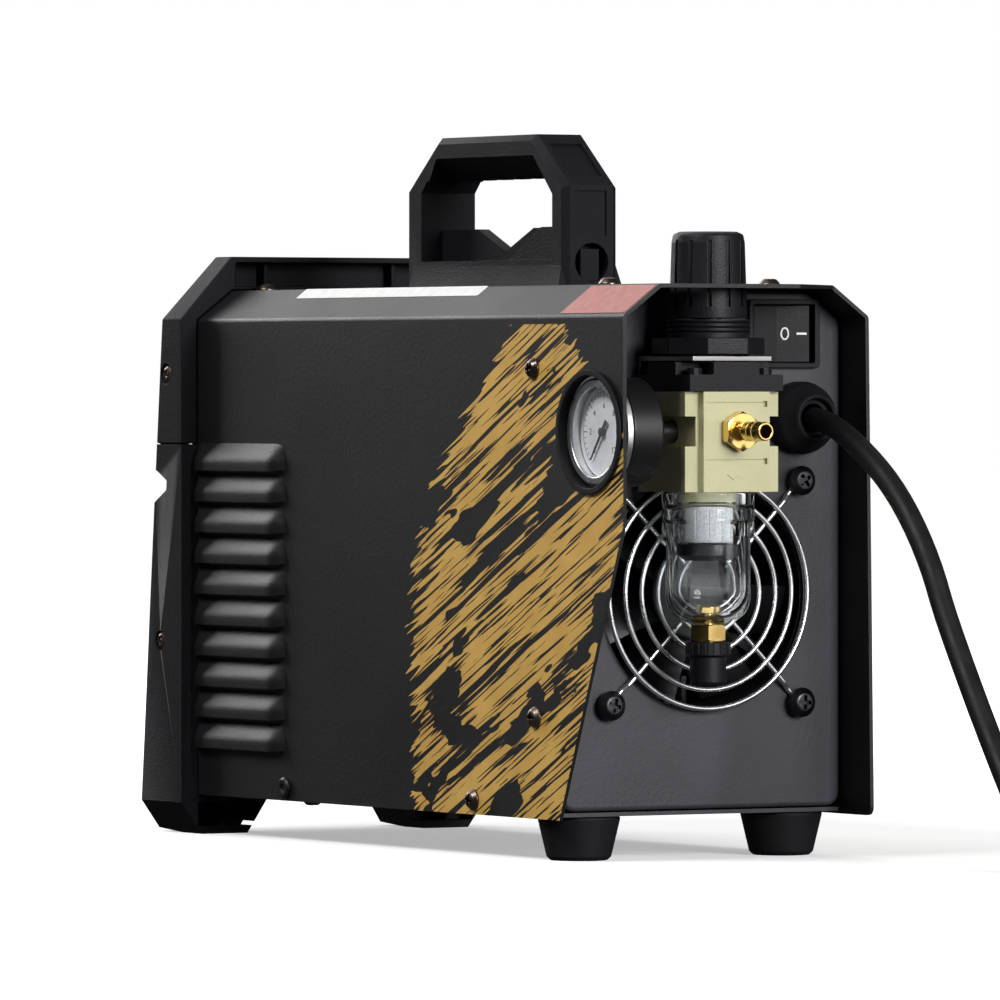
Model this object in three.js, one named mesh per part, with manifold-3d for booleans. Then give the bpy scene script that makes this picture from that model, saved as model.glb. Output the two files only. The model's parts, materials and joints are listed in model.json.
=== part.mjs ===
// Plasma cutter unit: an inverter power source with its own filter regulator on the back.
//
// Millimetres, +Z up, +Y towards the back of the machine. The machine stands on the floor, Z = 0,
// and its origin is the middle of its footprint. Every piece is drawn from the machine's datum:
// X from the centre line, Y from the outside of the rear panel, Z from the bottom edge of the cover.

import * as THREE from 'three';
import { ConvexGeometry } from 'three/addons/geometries/ConvexGeometry.js';
import { mergeVertices } from 'three/addons/utils/BufferGeometryUtils.js';
import Module from 'manifold-3d';

const wasm = await Module();
wasm.setup();

// ---------------------------------------------------------------- driving dimensions

const FLOOR = -15.5;            // the floor, below the cover's bottom edge
const REAR_FROM_ORIGIN = 122.5; // the rear panel's outside, behind the origin
const GAP = 0.3;                // left between pieces that touch

const COVER = { half: 62, bend: 185.4, top: 197, topHalf: 46.3, sheet: 1.5, front: -281, rear: 45.8 };
const OVERHANG = { slantFrom: 108.8, farTop: 17, farBottom: 20.8, farCorner: 8, topStart: -14 };
const BEZEL = { half: 69.5, bend: 186, top: 210.3, topHalf: 47, rear: -276, seam: 137 };
const RAKE = { bottom: -308, bottomZ: 5, top: -291.6, topZ: 186 };
const PANEL = { half: 55, height: 166, thick: 2.5, recess: 8, z: 97 };
const FOOT = { x: 44, y: -15.7, top: 15.5, bottom: 12 };
const HANDLE = { half: 12, front: -200, rear: -80, base: 197.3, top: 255, cornerY: 24, cornerZ: 19.6 };
const FAN = { z: 83.2, half: 46.2, bore: 43.5, screws: 41.25, back: -1.8, front: -27 };
const SWITCH = { x: -34.3, z: 179.1, width: 30.8, height: 25.6, body: 14.2, bodyHigh: 11.7 };
const GLAND = { x: -41, z: 147.8, base: 13.5, nose: 9, length: 15 };
const REGULATOR = { x: 11.4, y: 22.4, port: 143, half: 20 };
const GAUGE = { x: 1.9, y: 22.4, z: 142.8, radius: 20, back: 40, front: 58.6 };
const BOARD = { half: 50, front: -230, rear: -45, bottom: 16, top: 18 };
const CORD = { diameter: 8.5, turns: 3, layers: 2, x: -107, y: 200, middle: 48, tieThick: 1.1 };

// ---------------------------------------------------------------- solids

function toSolid(geometry) {
  const bare = geometry.clone();
  bare.deleteAttribute('normal');
  bare.deleteAttribute('uv');
  const merged = mergeVertices(bare);
  const corner = merged.index.array;
  const triangles = [];
  for (let i = 0; i < corner.length; i += 3) {
    const [a, b, c] = [corner[i], corner[i + 1], corner[i + 2]];
    if (a !== b && b !== c && c !== a) triangles.push(a, b, c);
  }
  const vertProperties = new Float32Array(merged.attributes.position.array);
  if (signedVolume(vertProperties, triangles) < 0) triangles.reverse();
  const triVerts = new Uint32Array(triangles);
  return new wasm.Manifold(new wasm.Mesh({ numProp: 3, vertProperties, triVerts }));
}

function signedVolume(position, triangles) {
  const [a, b, c] = [new THREE.Vector3(), new THREE.Vector3(), new THREE.Vector3()];
  let total = 0;
  for (let i = 0; i < triangles.length; i += 3) {
    a.fromArray(position, 3 * triangles[i]);
    b.fromArray(position, 3 * triangles[i + 1]);
    c.fromArray(position, 3 * triangles[i + 2]);
    total += a.dot(b.cross(c)) / 6;
  }
  return total;
}

function toGeometry(solid) {
  const mesh = solid.getMesh();
  const geometry = new THREE.BufferGeometry();
  geometry.setAttribute('position', new THREE.BufferAttribute(new Float32Array(mesh.vertProperties), 3));
  geometry.setIndex(new THREE.BufferAttribute(new Uint32Array(mesh.triVerts), 1));
  geometry.computeVertexNormals();
  return geometry;
}

const join = (first, ...others) =>
  toGeometry(others.reduce((whole, other) => whole.add(toSolid(other)), toSolid(first)));

const cut = (first, ...others) =>
  toGeometry(others.reduce((whole, other) => whole.subtract(toSolid(other)), toSolid(first)));

const common = (first, second) => toGeometry(toSolid(first).intersect(toSolid(second)));

// ---------------------------------------------------------------- plain shapes

const outline = (points) => new THREE.Shape(points.map(([x, y]) => new THREE.Vector2(x, y)));

// An outline in X and Y, raised from z0 to z1.
function prismZ(points, z0, z1) {
  const geometry = new THREE.ExtrudeGeometry(outline(points), { depth: z1 - z0, bevelEnabled: false });
  return geometry.translate(0, 0, z0);
}

// An outline in X and Z, run from y0 to y1.
function prismY(points, y0, y1) {
  const geometry = new THREE.ExtrudeGeometry(outline(points), { depth: y1 - y0, bevelEnabled: false });
  return geometry.rotateX(Math.PI / 2).translate(0, y1, 0);
}

// An outline in Y and Z, run from x0 to x1.
function prismX(points, x0, x1) {
  const geometry = new THREE.ExtrudeGeometry(outline(points), { depth: x1 - x0, bevelEnabled: false });
  return geometry.rotateX(Math.PI / 2).rotateZ(Math.PI / 2).translate(x0, 0, 0);
}

function box([x0, x1], [y0, y1], [z0, z1]) {
  const geometry = new THREE.BoxGeometry(x1 - x0, y1 - y0, z1 - z0);
  return geometry.translate((x0 + x1) / 2, (y0 + y1) / 2, (z0 + z1) / 2);
}

const hull = (corners) => new ConvexGeometry(corners.map((corner) => new THREE.Vector3(...corner)));

// A profile of [radius, distance] turned about Z; it starts and ends on the axis or closes on itself.
function turned(profile, sides = 18) {
  const points = profile.map(([radius, distance]) => new THREE.Vector2(radius, distance));
  return new THREE.LatheGeometry(points, sides).rotateX(Math.PI / 2);
}

// The same, about the Y axis through (x, z) and about the X axis through (y, z).
const turnedY = (profile, x, z, sides) => turned(profile, sides).rotateX(-Math.PI / 2).translate(x, 0, z);
const turnedX = (profile, y, z, sides) => turned(profile, sides).rotateY(Math.PI / 2).translate(0, y, z);

const disc = (radius, from, to) => [[0, from], [radius, from], [radius, to], [0, to]];

const ring = (inner, outer, from, to) =>
  [[inner, from], [outer, from], [outer, to], [inner, to], [inner, from]];

// A bar of round section along a path of [x, y, z] points, with 2 * halfSides faces.
function bar(points, radius, halfSides, steps) {
  const section = new THREE.Shape();
  section.absarc(0, 0, radius, 0, 2 * Math.PI);
  const path = new THREE.CatmullRomCurve3(points.map((point) => new THREE.Vector3(...point)), false,
    'centripetal');
  return new THREE.ExtrudeGeometry(section, { extrudePath: path, steps, curveSegments: halfSides });
}

const mirrored = (points) => [...points, ...points.map(([x, z]) => [-x, z]).reverse()];

// ---------------------------------------------------------------- materials

const plastic = (color, roughness) => new THREE.MeshStandardMaterial({ color, roughness, metalness: 0 });
const metal = (color, roughness) => new THREE.MeshStandardMaterial({ color, roughness, metalness: 1 });
const clear = (color, opacity) =>
  new THREE.MeshStandardMaterial({ color, opacity, transparent: true, roughness: 0.05, metalness: 0 });

const MATERIAL = {
  paint: plastic(0x242426, 0.55),
  panelPaint: plastic(0x46464a, 0.45),
  shell: plastic(0x2a2a2d, 0.6),
  black: plastic(0x141415, 0.4),
  rubber: plastic(0x18181a, 0.85),
  zinc: metal(0x9a9ba0, 0.35),
  chrome: metal(0xd8d9dc, 0.12),
  brass: metal(0xc8a030, 0.25),
  gold: plastic(0xdad4a8, 0.35),
  steel: metal(0x7a7c80, 0.4),
  white: plastic(0xe9eaea, 0.4),
  clear: clear(0xe8eef2, 0.3),
  board: plastic(0x1f5a34, 0.6),
  copper: metal(0xa5602c, 0.4),
  blue: plastic(0x1c3f8c, 0.4),
  aluminium: metal(0xb9bcc2, 0.4),
};

const machine = new THREE.Group();
machine.position.set(0, REAR_FROM_ORIGIN, -FLOOR);

// Every piece goes through the solid library, which leaves it closed with its faces pointing out.
function piece(name, geometry, material, parent = machine) {
  const mesh = new THREE.Mesh(toGeometry(toSolid(geometry)), material);
  mesh.name = name;
  parent.add(mesh);
  return mesh;
}

// ---------------------------------------------------------------- cover

// The cover's outline seen from the back, drawn `inset` inside its outer face.
function coverOutline(inset, bottom) {
  const flat = inset * Math.tan(Math.PI / 8);
  return mirrored([
    [COVER.half - inset, bottom],
    [COVER.half - inset, COVER.bend - flat],
    [COVER.topHalf - flat, COVER.top - inset],
  ]);
}

// One louvre on the side X > 0: a hood pressed out of the sheet, open underneath.
function louvre(z, proud, inset) {
  const [front, rear] = [BEZEL.rear + 0.6 + inset, -206 - inset];
  const [low, high] = [z, z + 10.2 - inset];
  const wall = COVER.half - (inset > 0 ? COVER.sheet + 1 : 0.4);
  const face = COVER.half + proud - inset;
  const corners = [];
  for (const [y, slope] of [[front, 4], [rear, -7]]) {
    corners.push([wall, y, low - inset / 2], [wall, y, high]);
    corners.push([face, y + slope, low - inset / 2], [face, y + slope, low + 4 - inset / 2]);
  }
  return hull(corners);
}

function cover() {
  const count = 10;
  const [pitch, lowest] = [12, 18.7];
  const { front, rear, sheet, half, top } = COVER;
  let shell = cut(prismY(coverOutline(0, 0), front, rear), prismY(coverOutline(sheet, -1), front - 1, rear + 1));
  for (let i = 0; i < count; i++) {
    const z = lowest + pitch * i;
    for (const side of [1, -1]) {
      const hood = louvre(z, 3.6, 0).scale(side, 1, 1);
      const hollow = louvre(z, 3.6, 1.2).scale(side, 1, 1);
      shell = cut(join(shell, hood), hollow);
    }
  }
  const nearSlant = prismX([[0, -1], [rear, OVERHANG.slantFrom], [rear + 1, OVERHANG.slantFrom], [rear + 1, -1]],
    half - 5, half + 5);
  const { farTop, farBottom, farCorner, topStart } = OVERHANG;
  const corner = new THREE.Path().absarc(farBottom - farCorner, farCorner, farCorner, -Math.PI / 2, 0);
  const edge = corner.getPoints(4).map((point) => [point.x, point.y]);
  const farSide = prismX([
    [farBottom - farCorner, -1], ...edge, [farTop, COVER.bend + 0.01], [rear + 1, COVER.bend + 0.01], [rear + 1, -1],
  ], -half - 5, -half + 5);
  const farCut = prismZ([
    [topStart, rear + 1], [topStart, rear], [-COVER.topHalf, farTop],
    [-half - 1, farTop], [-half - 1, rear + 1],
  ], COVER.bend, top + 1);
  const knobHole = turned(disc(16.5, top - 5, top + 5)).translate(REGULATOR.x, REGULATOR.y, 0);
  const gaugeHole = turnedX(disc(21.6, half - 5, half + 5), GAUGE.y, GAUGE.z);
  return cut(shell, nearSlant, farSide, farCut, knobHole, gaugeHole);
}

function gaugeTrim() {
  const [inside, hole, outside] = [20.6, 21.3, 22.9];
  const inner = COVER.half - COVER.sheet - GAP;
  const outer = COVER.half + GAP;
  const section = [
    [inside, inner - 1], [outside, inner - 1], [outside, inner], [hole, inner],
    [hole, outer], [outside, outer], [outside, outer + 1], [inside, outer + 1], [inside, inner - 1],
  ];
  return turnedX(section, GAUGE.y, GAUGE.z);
}

piece('cover', cover(), MATERIAL.paint);
piece('gauge_trim', gaugeTrim(), MATERIAL.rubber);

// ---------------------------------------------------------------- rear panel and base

// A pressed tray with rounded edges; its rim runs forward inside the cover.
function rearPanel() {
  const rim = 24;
  const roll = 3;
  const tray = (inset, from, to) => {
    const points = coverOutline(COVER.sheet + GAP + inset + roll, 3 + inset + roll);
    const options = { depth: to - from - 2 * roll, bevelSize: roll, bevelThickness: roll, bevelSegments: 3 };
    const geometry = new THREE.ExtrudeGeometry(outline(points), options);
    return geometry.rotateX(Math.PI / 2).translate(0, to - roll, 0);
  };
  const back = box([-COVER.half, COVER.half], [-rim - 10, -rim], [-1, COVER.top]);
  const [holeX, holeZ] = [SWITCH.body + GAP, SWITCH.bodyHigh + GAP];
  const switchHole = box([SWITCH.x - holeX, SWITCH.x + holeX], [-5, 5], [SWITCH.z - holeZ, SWITCH.z + holeZ]);
  const fanHole = turnedY(disc(44, -5, 5), 0, FAN.z, 28);
  const cordHole = turnedY(disc(8.8, -5, 5), GLAND.x, GLAND.z, 16);
  const airHole = turnedY(disc(6, -5, 5), REGULATOR.x, REGULATOR.port, 16);
  const screwHoles = fanCorners().map(([x, z]) => turnedY(disc(2.4, -5, 5), x, z, 12));
  return cut(tray(0, -rim - 5, 0), tray(COVER.sheet, -rim - 15, -COVER.sheet), back,
    switchHole, fanHole, cordHole, airHole, ...screwHoles);
}

function basePan() {
  const edge = COVER.half - COVER.sheet - 0.4;
  const section = [
    [-edge, 1], [edge, 1], [edge, 13], [edge - 1.5, 13], [edge - 1.5, 2.5],
    [-edge + 1.5, 2.5], [-edge + 1.5, 13], [-edge, 13],
  ];
  const rearEdge = box([-edge, edge], [-31, -1], [1, 2.5]);
  const posts = [];
  for (const x of [-44, 44]) {
    for (const y of [-220, -55]) posts.push(turned(disc(3, 2, BOARD.bottom - GAP), 10).translate(x, y, 0));
  }
  return join(prismY(section, COVER.front + 2, -30), rearEdge, ...posts);
}

function rubberFoot() {
  const rise = -FLOOR + 0.7;
  const body = turned([[0, 0], [FOOT.bottom - 1, 0], [FOOT.bottom, 1], [FOOT.top, rise], [0, rise]], 20);
  return cut(body, turned(disc(4, -1, 4), 12));
}

piece('rear_panel', rearPanel(), MATERIAL.panelPaint);
piece('base_pan', basePan(), MATERIAL.panelPaint);
for (const [side, name] of [[1, 'rear_foot_left'], [-1, 'rear_foot_right']]) {
  piece(name, rubberFoot(), MATERIAL.rubber).position.set(side * FOOT.x, FOOT.y, FLOOR);
}

// ---------------------------------------------------------------- front bezel

const rakeSlope = (RAKE.bottom - RAKE.top) / (RAKE.bottomZ - RAKE.topZ);
const rakeY = (z) => RAKE.bottom + rakeSlope * (z - RAKE.bottomZ);
const tilt = Math.atan(rakeSlope);

// Turns a shape drawn on the upright control panel, face at Y = 0 and centre at Z = 0, into place.
function onPanel(geometry) {
  return geometry.rotateX(-tilt).translate(0, rakeY(PANEL.z) + PANEL.recess, PANEL.z);
}

// The whole moulding: a raked frame round the control panel, with the two front feet at its bottom.
function bezel() {
  const face = mirrored([
    [31, -2], [40, FLOOR], [60, FLOOR], [BEZEL.half, -3],
    [BEZEL.half, BEZEL.bend], [BEZEL.topHalf, BEZEL.top],
  ]);
  const rake = prismX([
    [rakeY(-30), -30], [BEZEL.rear, -30], [BEZEL.rear, 220], [rakeY(220), 220],
  ], -80, 80);
  const throat = -284;
  const coverSeat = prismY(coverOutline(-0.4, -0.4), throat, BEZEL.rear + 1);
  const windowHalf = PANEL.half + GAP;
  const windowTop = PANEL.height / 2 + GAP;
  const window = onPanel(box([-windowHalf, windowHalf], [-30, PANEL.thick + GAP], [-windowTop, windowTop]));
  const back = onPanel(box([-windowHalf + 3, windowHalf - 3], [-5, 40], [-windowTop + 3, windowTop - 3]));
  const foot = box([37, 62], [-285, BEZEL.rear + 1], [-12.5, -3]);
  const footWeb = box([49, 51], [-286, BEZEL.rear], [-14, -2]);
  const notch = prismX([
    [rakeY(127) - 1, 127], [rakeY(126) + 2, 126], [rakeY(120) + 9.6, 122.6],
    [rakeY(120) + 9.6, 119.2], [rakeY(114) + 1, 114.5], [rakeY(113) - 1, 113.3],
  ], BEZEL.half - 5, BEZEL.half + 1);
  const toeRise = prismX([[-330, FLOOR + 3], [-330, FLOOR - 1], [-292, FLOOR - 1], [-292, FLOOR]], -80, 80);
  let frame = cut(common(prismY(face, -330, BEZEL.rear), rake), coverSeat, window, back, toeRise);
  for (const side of [1, -1]) {
    const pocket = cut(foot.clone(), footWeb.clone()).scale(side, 1, 1);
    frame = cut(frame, pocket, notch.clone().scale(side, 1, 1));
  }
  const [rib, end] = [28.8, 45];
  const cells = [[-end, -rib - 1], [-rib + 1, rib - 1], [rib + 1, end]];
  const hollow = box([-end, end], [-281, BEZEL.rear + 1], [198.6, 208]);
  return cut(frame, hollow, ...cells.map((cell) => box(cell, [-287, -280], [198.6, 208])));
}

const wholeBezel = bezel();
const belowSeam = box([-80, 80], [-340, -200], [-40, BEZEL.seam - GAP / 2]);
const aboveSeam = box([-80, 80], [-340, -200], [BEZEL.seam + GAP / 2, 230]);
piece('bezel_lower', common(wholeBezel, belowSeam), MATERIAL.shell);
piece('bezel_upper', common(wholeBezel, aboveSeam), MATERIAL.shell);

// ---------------------------------------------------------------- control panel

// Each control is drawn at the panel's face, Y = 0, and stands out towards -Y.
const controls = new THREE.Group();
controls.position.set(0, rakeY(PANEL.z) + PANEL.recess, PANEL.z);
controls.rotation.x = -tilt;
machine.add(controls);

const DISPLAY = { z: 52, half: 24, halfHeight: 11 };
const KNOB = { z: 8, radius: 15, length: 14 };
const BUTTON = { x: 30, z: 8, radius: 5, proud: 2.6 };
const SOCKET = { x: 27, z: -50, flange: 16, bore: 6.5, depth: 24 };

function frontPanel() {
  const plate = box([-PANEL.half, PANEL.half], [0, PANEL.thick], [-PANEL.height / 2, PANEL.height / 2]);
  const { half, halfHeight, z } = DISPLAY;
  const holes = [
    box([-half - GAP, half + GAP], [-1, 5], [z - halfHeight - GAP, z + halfHeight + GAP]),
    turnedY(disc(3.3, -1, 5), 0, KNOB.z, 12),
  ];
  for (const side of [1, -1]) {
    holes.push(turnedY(disc(BUTTON.radius + 0.25, -1, 5), side * BUTTON.x, BUTTON.z, 16));
    holes.push(turnedY(disc(12.4, -1, 5), side * SOCKET.x, SOCKET.z, 20));
  }
  return cut(plate, ...holes);
}

function displayWindow() {
  const { half, halfHeight, z } = DISPLAY;
  const glass = box([-half, half], [-0.6, PANEL.thick], [z - halfHeight, z + halfHeight]);
  const rim = box([-half - 3, half + 3], [-1.6, -GAP], [z - halfHeight - 3, z + halfHeight + 3]);
  const recess = box([-half + 1, half - 1], [-3, -0.6], [z - halfHeight + 1, z + halfHeight - 1]);
  return cut(join(glass, rim), recess);
}

function currentKnob() {
  const grips = 12;
  const face = -KNOB.length;
  const profile = [
    [0, -0.6], [KNOB.radius, -0.6], [KNOB.radius, -3], [KNOB.radius - 2, -4.5],
    [KNOB.radius - 3, face + 1], [KNOB.radius - 4, face], [0, face],
  ];
  const shaft = disc(3, -0.7, 12);
  let knob = join(turnedY(profile, 0, KNOB.z, 20), turnedY(shaft, 0, KNOB.z, 12));
  for (let i = 0; i < grips; i++) {
    const groove = box([-0.9, 0.9], [face - 1, -5], [KNOB.radius - 3.8, KNOB.radius]);
    knob = cut(knob, groove.rotateY((2 * Math.PI * (i + 0.5)) / grips).translate(0, 0, KNOB.z));
  }
  const pointer = box([-0.7, 0.7], [face - 0.8, face + 0.5], [KNOB.z + 3, KNOB.z + KNOB.radius - 4.5]);
  return join(knob, pointer);
}

function pushButton(side) {
  const cap = [[0, 8], [BUTTON.radius, 8], [BUTTON.radius, -BUTTON.proud + 0.6],
    [BUTTON.radius - 0.6, -BUTTON.proud], [0, -BUTTON.proud]];
  const collar = disc(BUTTON.radius + 1.5, 5.5, 8);
  return join(turnedY(cap, side * BUTTON.x, BUTTON.z, 16), turnedY(collar, side * BUTTON.x, BUTTON.z, 16));
}

// A round insulator behind and in front of the panel with a contact bush set in it.
function socket(side, boreRadius) {
  const { flange, depth } = SOCKET;
  const section = [
    [boreRadius, -7], [flange - 2, -7], [flange, -5], [flange, -GAP], [12, -GAP],
    [12, depth], [boreRadius, depth], [boreRadius, -7],
  ];
  return turnedY(section, side * SOCKET.x, SOCKET.z, 16);
}

function contact(side, outer, inner, front) {
  const end = SOCKET.depth - 3;
  const bush = [[0, end], [outer, end], [outer, front], [inner, front], [inner, end - 4], [0, end - 4]];
  return turnedY(bush, side * SOCKET.x, SOCKET.z, 16);
}

piece('front_panel', frontPanel(), MATERIAL.panelPaint, controls);
piece('display_window', displayWindow(), MATERIAL.black, controls);
piece('current_knob', currentKnob(), MATERIAL.black, controls);
piece('mode_button', pushButton(-1), MATERIAL.black, controls);
piece('gas_test_button', pushButton(1), MATERIAL.black, controls);
piece('torch_socket', socket(-1, 9.2), MATERIAL.black, controls);
piece('torch_contact', contact(-1, 8.9, 4.5, -4), MATERIAL.brass, controls);
piece('earth_socket', socket(1, 9.2), MATERIAL.black, controls);
piece('earth_contact', contact(1, 8.9, SOCKET.bore, 0), MATERIAL.brass, controls);

// ---------------------------------------------------------------- handle

function handle() {
  const { half, front, rear, base, top, cornerY, cornerZ } = HANDLE;
  const middle = (front + rear) / 2;
  const bevel = 2.5;
  const shape = outline([
    [front + bevel, base + bevel], [rear - bevel, base + bevel], [rear - bevel, top - cornerZ - 1],
    [rear - cornerY - 1, top - bevel], [front + cornerY + 1, top - bevel], [front + bevel, top - cornerZ - 1],
  ]);
  const options = { depth: 2 * (half - bevel), bevelSize: bevel, bevelThickness: bevel, bevelSegments: 1 };
  const block = new THREE.ExtrudeGeometry(shape, options).rotateX(Math.PI / 2).rotateZ(Math.PI / 2);
  block.translate(-half + bevel, 0, 0);

  // The finger opening runs straight through; its edges are cut back a long way under the grip.
  const floor = base + 10.2;
  const inner = [
    [middle - 48, floor], [middle - 48, top - 21], [middle - 43.5, top - 16.5],
    [middle + 43.5, top - 16.5], [middle + 48, top - 21], [middle + 48, floor],
  ];
  const outer = [
    [front + 14.5, floor], [front + 14.5, top - 22.5], [front + 24, top - 7.5],
    [rear - 24, top - 7.5], [rear - 9, top - 23], [rear - 9, floor],
  ];
  const flare = (side) => hull([
    ...outer.map(([y, z]) => [side * (half + 0.5), y, z]),
    ...inner.map(([y, z]) => [side * 3, y, z]),
  ]);
  const web = [
    [-52, floor - 3], [52, floor - 3], [52, 219.8], [21, 219.8], [0, 211], [-21, 219.8], [-52, 219.8],
  ];

  const cheek = [[middle + 12, floor - 3], [middle + 41, 219.8], [rear - 8, 219.8], [rear - 8, floor - 3]];

  const skirt = [];
  for (const x of [-1, 1]) {
    for (const y of [front + 5, rear - 1]) skirt.push([x * (half + 2), y, base]);
    for (const y of [front + 7, rear - 3]) skirt.push([x * (half - 0.5), y, base + 10]);
  }
  const wellRound = turnedY(disc(7.4, rear - 7, rear + 4), 0, base + 9, 16);
  const screwBlock = box([-4, 4], [rear - 8, rear - 1.5], [base + 2, base + 14]);
  const panel = box([-6.5, 6.5], [rear - 1, rear + 1], [base + 19, base + 36]);
  let body = cut(block, prismX(inner, -half - 1, half + 1), flare(1), flare(-1));
  body = join(body, hull(skirt), prismX(web.map(([y, z]) => [middle + y, z]), -2.5, 2.5));
  body = join(body, prismX(cheek, -half + 1, half - 1));
  body = cut(body, cut(wellRound, screwBlock), panel);
  const slope = Math.atan2(cornerZ, cornerY);
  for (const end of [1, -1]) {
    const pad = box([-7, 7], [-10, 10], [-1.2, 3]).rotateX(-slope * end);
    body = cut(body, pad.translate(0, middle + end * 48, top - cornerZ / 2));
  }
  const fingerGrooves = 5;
  for (let i = 0; i < fingerGrooves; i++) {
    const y = middle + 13 * (i - (fingerGrooves - 1) / 2);
    body = cut(body, turnedX(disc(4.5, -half, half), y, top - 19.8, 14));
  }
  return body;
}

piece('handle', handle(), MATERIAL.shell);

// ---------------------------------------------------------------- fan

function fanCorners() {
  const corners = [];
  for (const x of [1, -1]) {
    for (const z of [1, -1]) corners.push([x * FAN.screws, FAN.z + z * FAN.screws]);
  }
  return corners;
}

function fanFrame() {
  const { half, bore, z, front, back } = FAN;
  const block = box([-half, half], [front, back], [z - half, z + half]);
  const holes = fanCorners().map(([x, height]) => turnedY(disc(2.4, front - 1, back + 1), x, height, 12));
  let frame = cut(block, turnedY(disc(bore, front - 1, back + 1), 0, z, 28), ...holes);
  frame = join(frame, turnedY(disc(19, front, front + 3), 0, z, 22));
  for (const angle of [0, 1, 2]) {
    const strut = box([-2.5, 2.5], [front, front + 2.5], [15, bore + 1]);
    frame = join(frame, strut.rotateY((2 * Math.PI * angle) / 3).translate(0, 0, z));
  }
  return cut(frame, turnedY(disc(1.8, front + 1, front + 5), 0, z, 12));
}

function fanRotor() {
  const blades = 7;
  const [hubFront, hubBack] = [FAN.front + 3.6, -6];
  let rotor = join(turnedY(disc(18, hubFront, hubBack), 0, 0, 22), turnedY(disc(1.7, hubFront - 2, -20), 0, 0, 12));
  for (let i = 0; i < blades; i++) {
    const blade = box([-10, 10], [-0.7, 0.7], [16, 41.5]).rotateZ((38 * Math.PI) / 180);
    rotor = join(rotor, blade.translate(0, -14.5, 0).rotateY((2 * Math.PI * i) / blades));
  }
  return rotor;
}

// Five rings welded on four spokes, each spoke ending in an eye round its screw.
function fanGuard() {
  const wire = 0.95;
  const proud = 4.2;
  const rings = [43, 36, 29, 22, 15].map((radius) =>
    new THREE.TorusGeometry(radius, wire, 4, 12 + 4 * Math.round(radius / 9)).rotateX(Math.PI / 2)
      .translate(0, proud, 0));
  const reach = FAN.screws * Math.SQRT2;
  const parts = [...rings];
  for (const quarter of [0, 1, 2, 3]) {
    const spoke = bar([[13.5, proud - 1.2, 0], [46, proud - 1.2, 0], [51, 1.35, 0], [reach - 3.4, 1.35, 0]],
      wire, 2, 5);
    const eye = new THREE.TorusGeometry(3.6, wire, 4, 12).rotateX(Math.PI / 2).translate(reach, 1.35, 0);
    const turn = Math.PI / 4 + (quarter * Math.PI) / 2;
    parts.push(spoke.rotateY(turn), eye.rotateY(turn));
  }
  return join(...parts).translate(0, 0, FAN.z);
}

function guardScrew() {
  const profile = [
    [0, -12], [1.9, -12], [1.9, 2.5], [5.5, 2.5], [5.5, 4.2], [4.3, 5.6], [0, 6],
  ];
  return turnedY(profile, 0, 0, 12);
}

piece('fan_frame', fanFrame(), MATERIAL.black);
piece('fan_rotor', fanRotor(), MATERIAL.black).position.set(0, 0, FAN.z);
piece('fan_guard', fanGuard(), MATERIAL.chrome);
fanCorners().forEach(([x, z], i) => {
  piece(`fan_screw_${i + 1}`, guardScrew(), MATERIAL.black).position.set(x, 0, z);
});

// ---------------------------------------------------------------- power switch

const ROCKER = { hinge: -3, half: 12.4, height: 21, rest: 10 };

function switchHousing() {
  const { x, z, width, height, body, bodyHigh } = SWITCH;
  const flange = prismY([
    [x - width / 2, z - height / 2], [x + width / 2, z - height / 2],
    [x + width / 2, z + height / 2], [x - width / 2, z + height / 2],
  ], GAP, 2.6);
  const snapBox = box([x - body, x + body], [-22, 1], [z - bodyHigh, z + bodyHigh]);
  const well = box([x - body + 1, x + body - 1], [-12.5, 4], [z - bodyHigh + 0.9, z + bodyHigh - 0.9]);
  return cut(join(flange, snapBox), well);
}

// A paddle with two faces meeting in a shallow V on the hinge line, drawn level.
function rocker() {
  const { half, height } = ROCKER;
  const rise = half * Math.tan((10 * Math.PI) / 180);
  const section = [[0, 0], [half, rise], [half - 0.6, rise - 4.5], [3, -6.5], [-3, -6.5], [-half + 0.6, rise - 4.5],
    [-half, rise]];
  return prismZ(section, -height / 2, height / 2);
}

piece('switch_housing', switchHousing(), MATERIAL.black);
const paddle = piece('switch_rocker', rocker(), MATERIAL.black);
paddle.position.set(SWITCH.x, ROCKER.hinge, SWITCH.z);
paddle.rotation.z = (-ROCKER.rest * Math.PI) / 180;

// ---------------------------------------------------------------- filter regulator

// A plan outline of four arms: a block `half` square with its corners taken out down to `arm`.
function cross(half, arm) {
  return [
    [arm, half], [arm, arm], [half, arm], [half, -arm], [arm, -arm], [arm, -half],
    [-arm, -half], [-arm, -arm], [-half, -arm], [-half, arm], [-arm, arm], [-arm, half],
  ];
}

const square = (half) => [[-half, -half], [half, -half], [half, half], [-half, half]];

function regulatorBody() {
  const { half, port } = REGULATOR;
  const face = 14.2;
  const wing = 16.5;
  const middle = prismZ([[-face, -wing], [face, -wing], [face, half], [-face, half]], 120.8, 157.5);
  const outletBoss = turnedY(disc(12, -half, -wing + 1), 0, port);
  const wings = prismZ([[-half, -wing], [half, -wing], [half, wing], [-half, wing]], 120.8, 157.5);
  let body = join(middle, wings, outletBoss, turned(disc(10.5, 117, 121)));
  for (const side of [1, -1]) {
    const notch = box([half - 4.5, half + 1], [-half, half], [port - 5.5, port + 5.5]).scale(side, 1, 1);
    body = cut(body, notch);
  }
  for (const z of [port - 11, port + 10]) {
    body = cut(body, box([-face + 1, face - 1], [half - 0.5, half + 1], [z - 0.7, z + 0.7]));
  }
  const inlet = turnedY(disc(6.2, half - 10, half + 1), 0, port, 16);
  const outlet = turnedY(disc(5.2, -half - 1, -half + 10), 0, port, 16);
  const gaugePort = turnedX(disc(4.4, half - 12, half + 1), 0, port - 0.2, 14);
  const core = turned(disc(3.9, 116, 122), 14);
  return cut(body, inlet, outlet, gaugePort, core);
}

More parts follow.
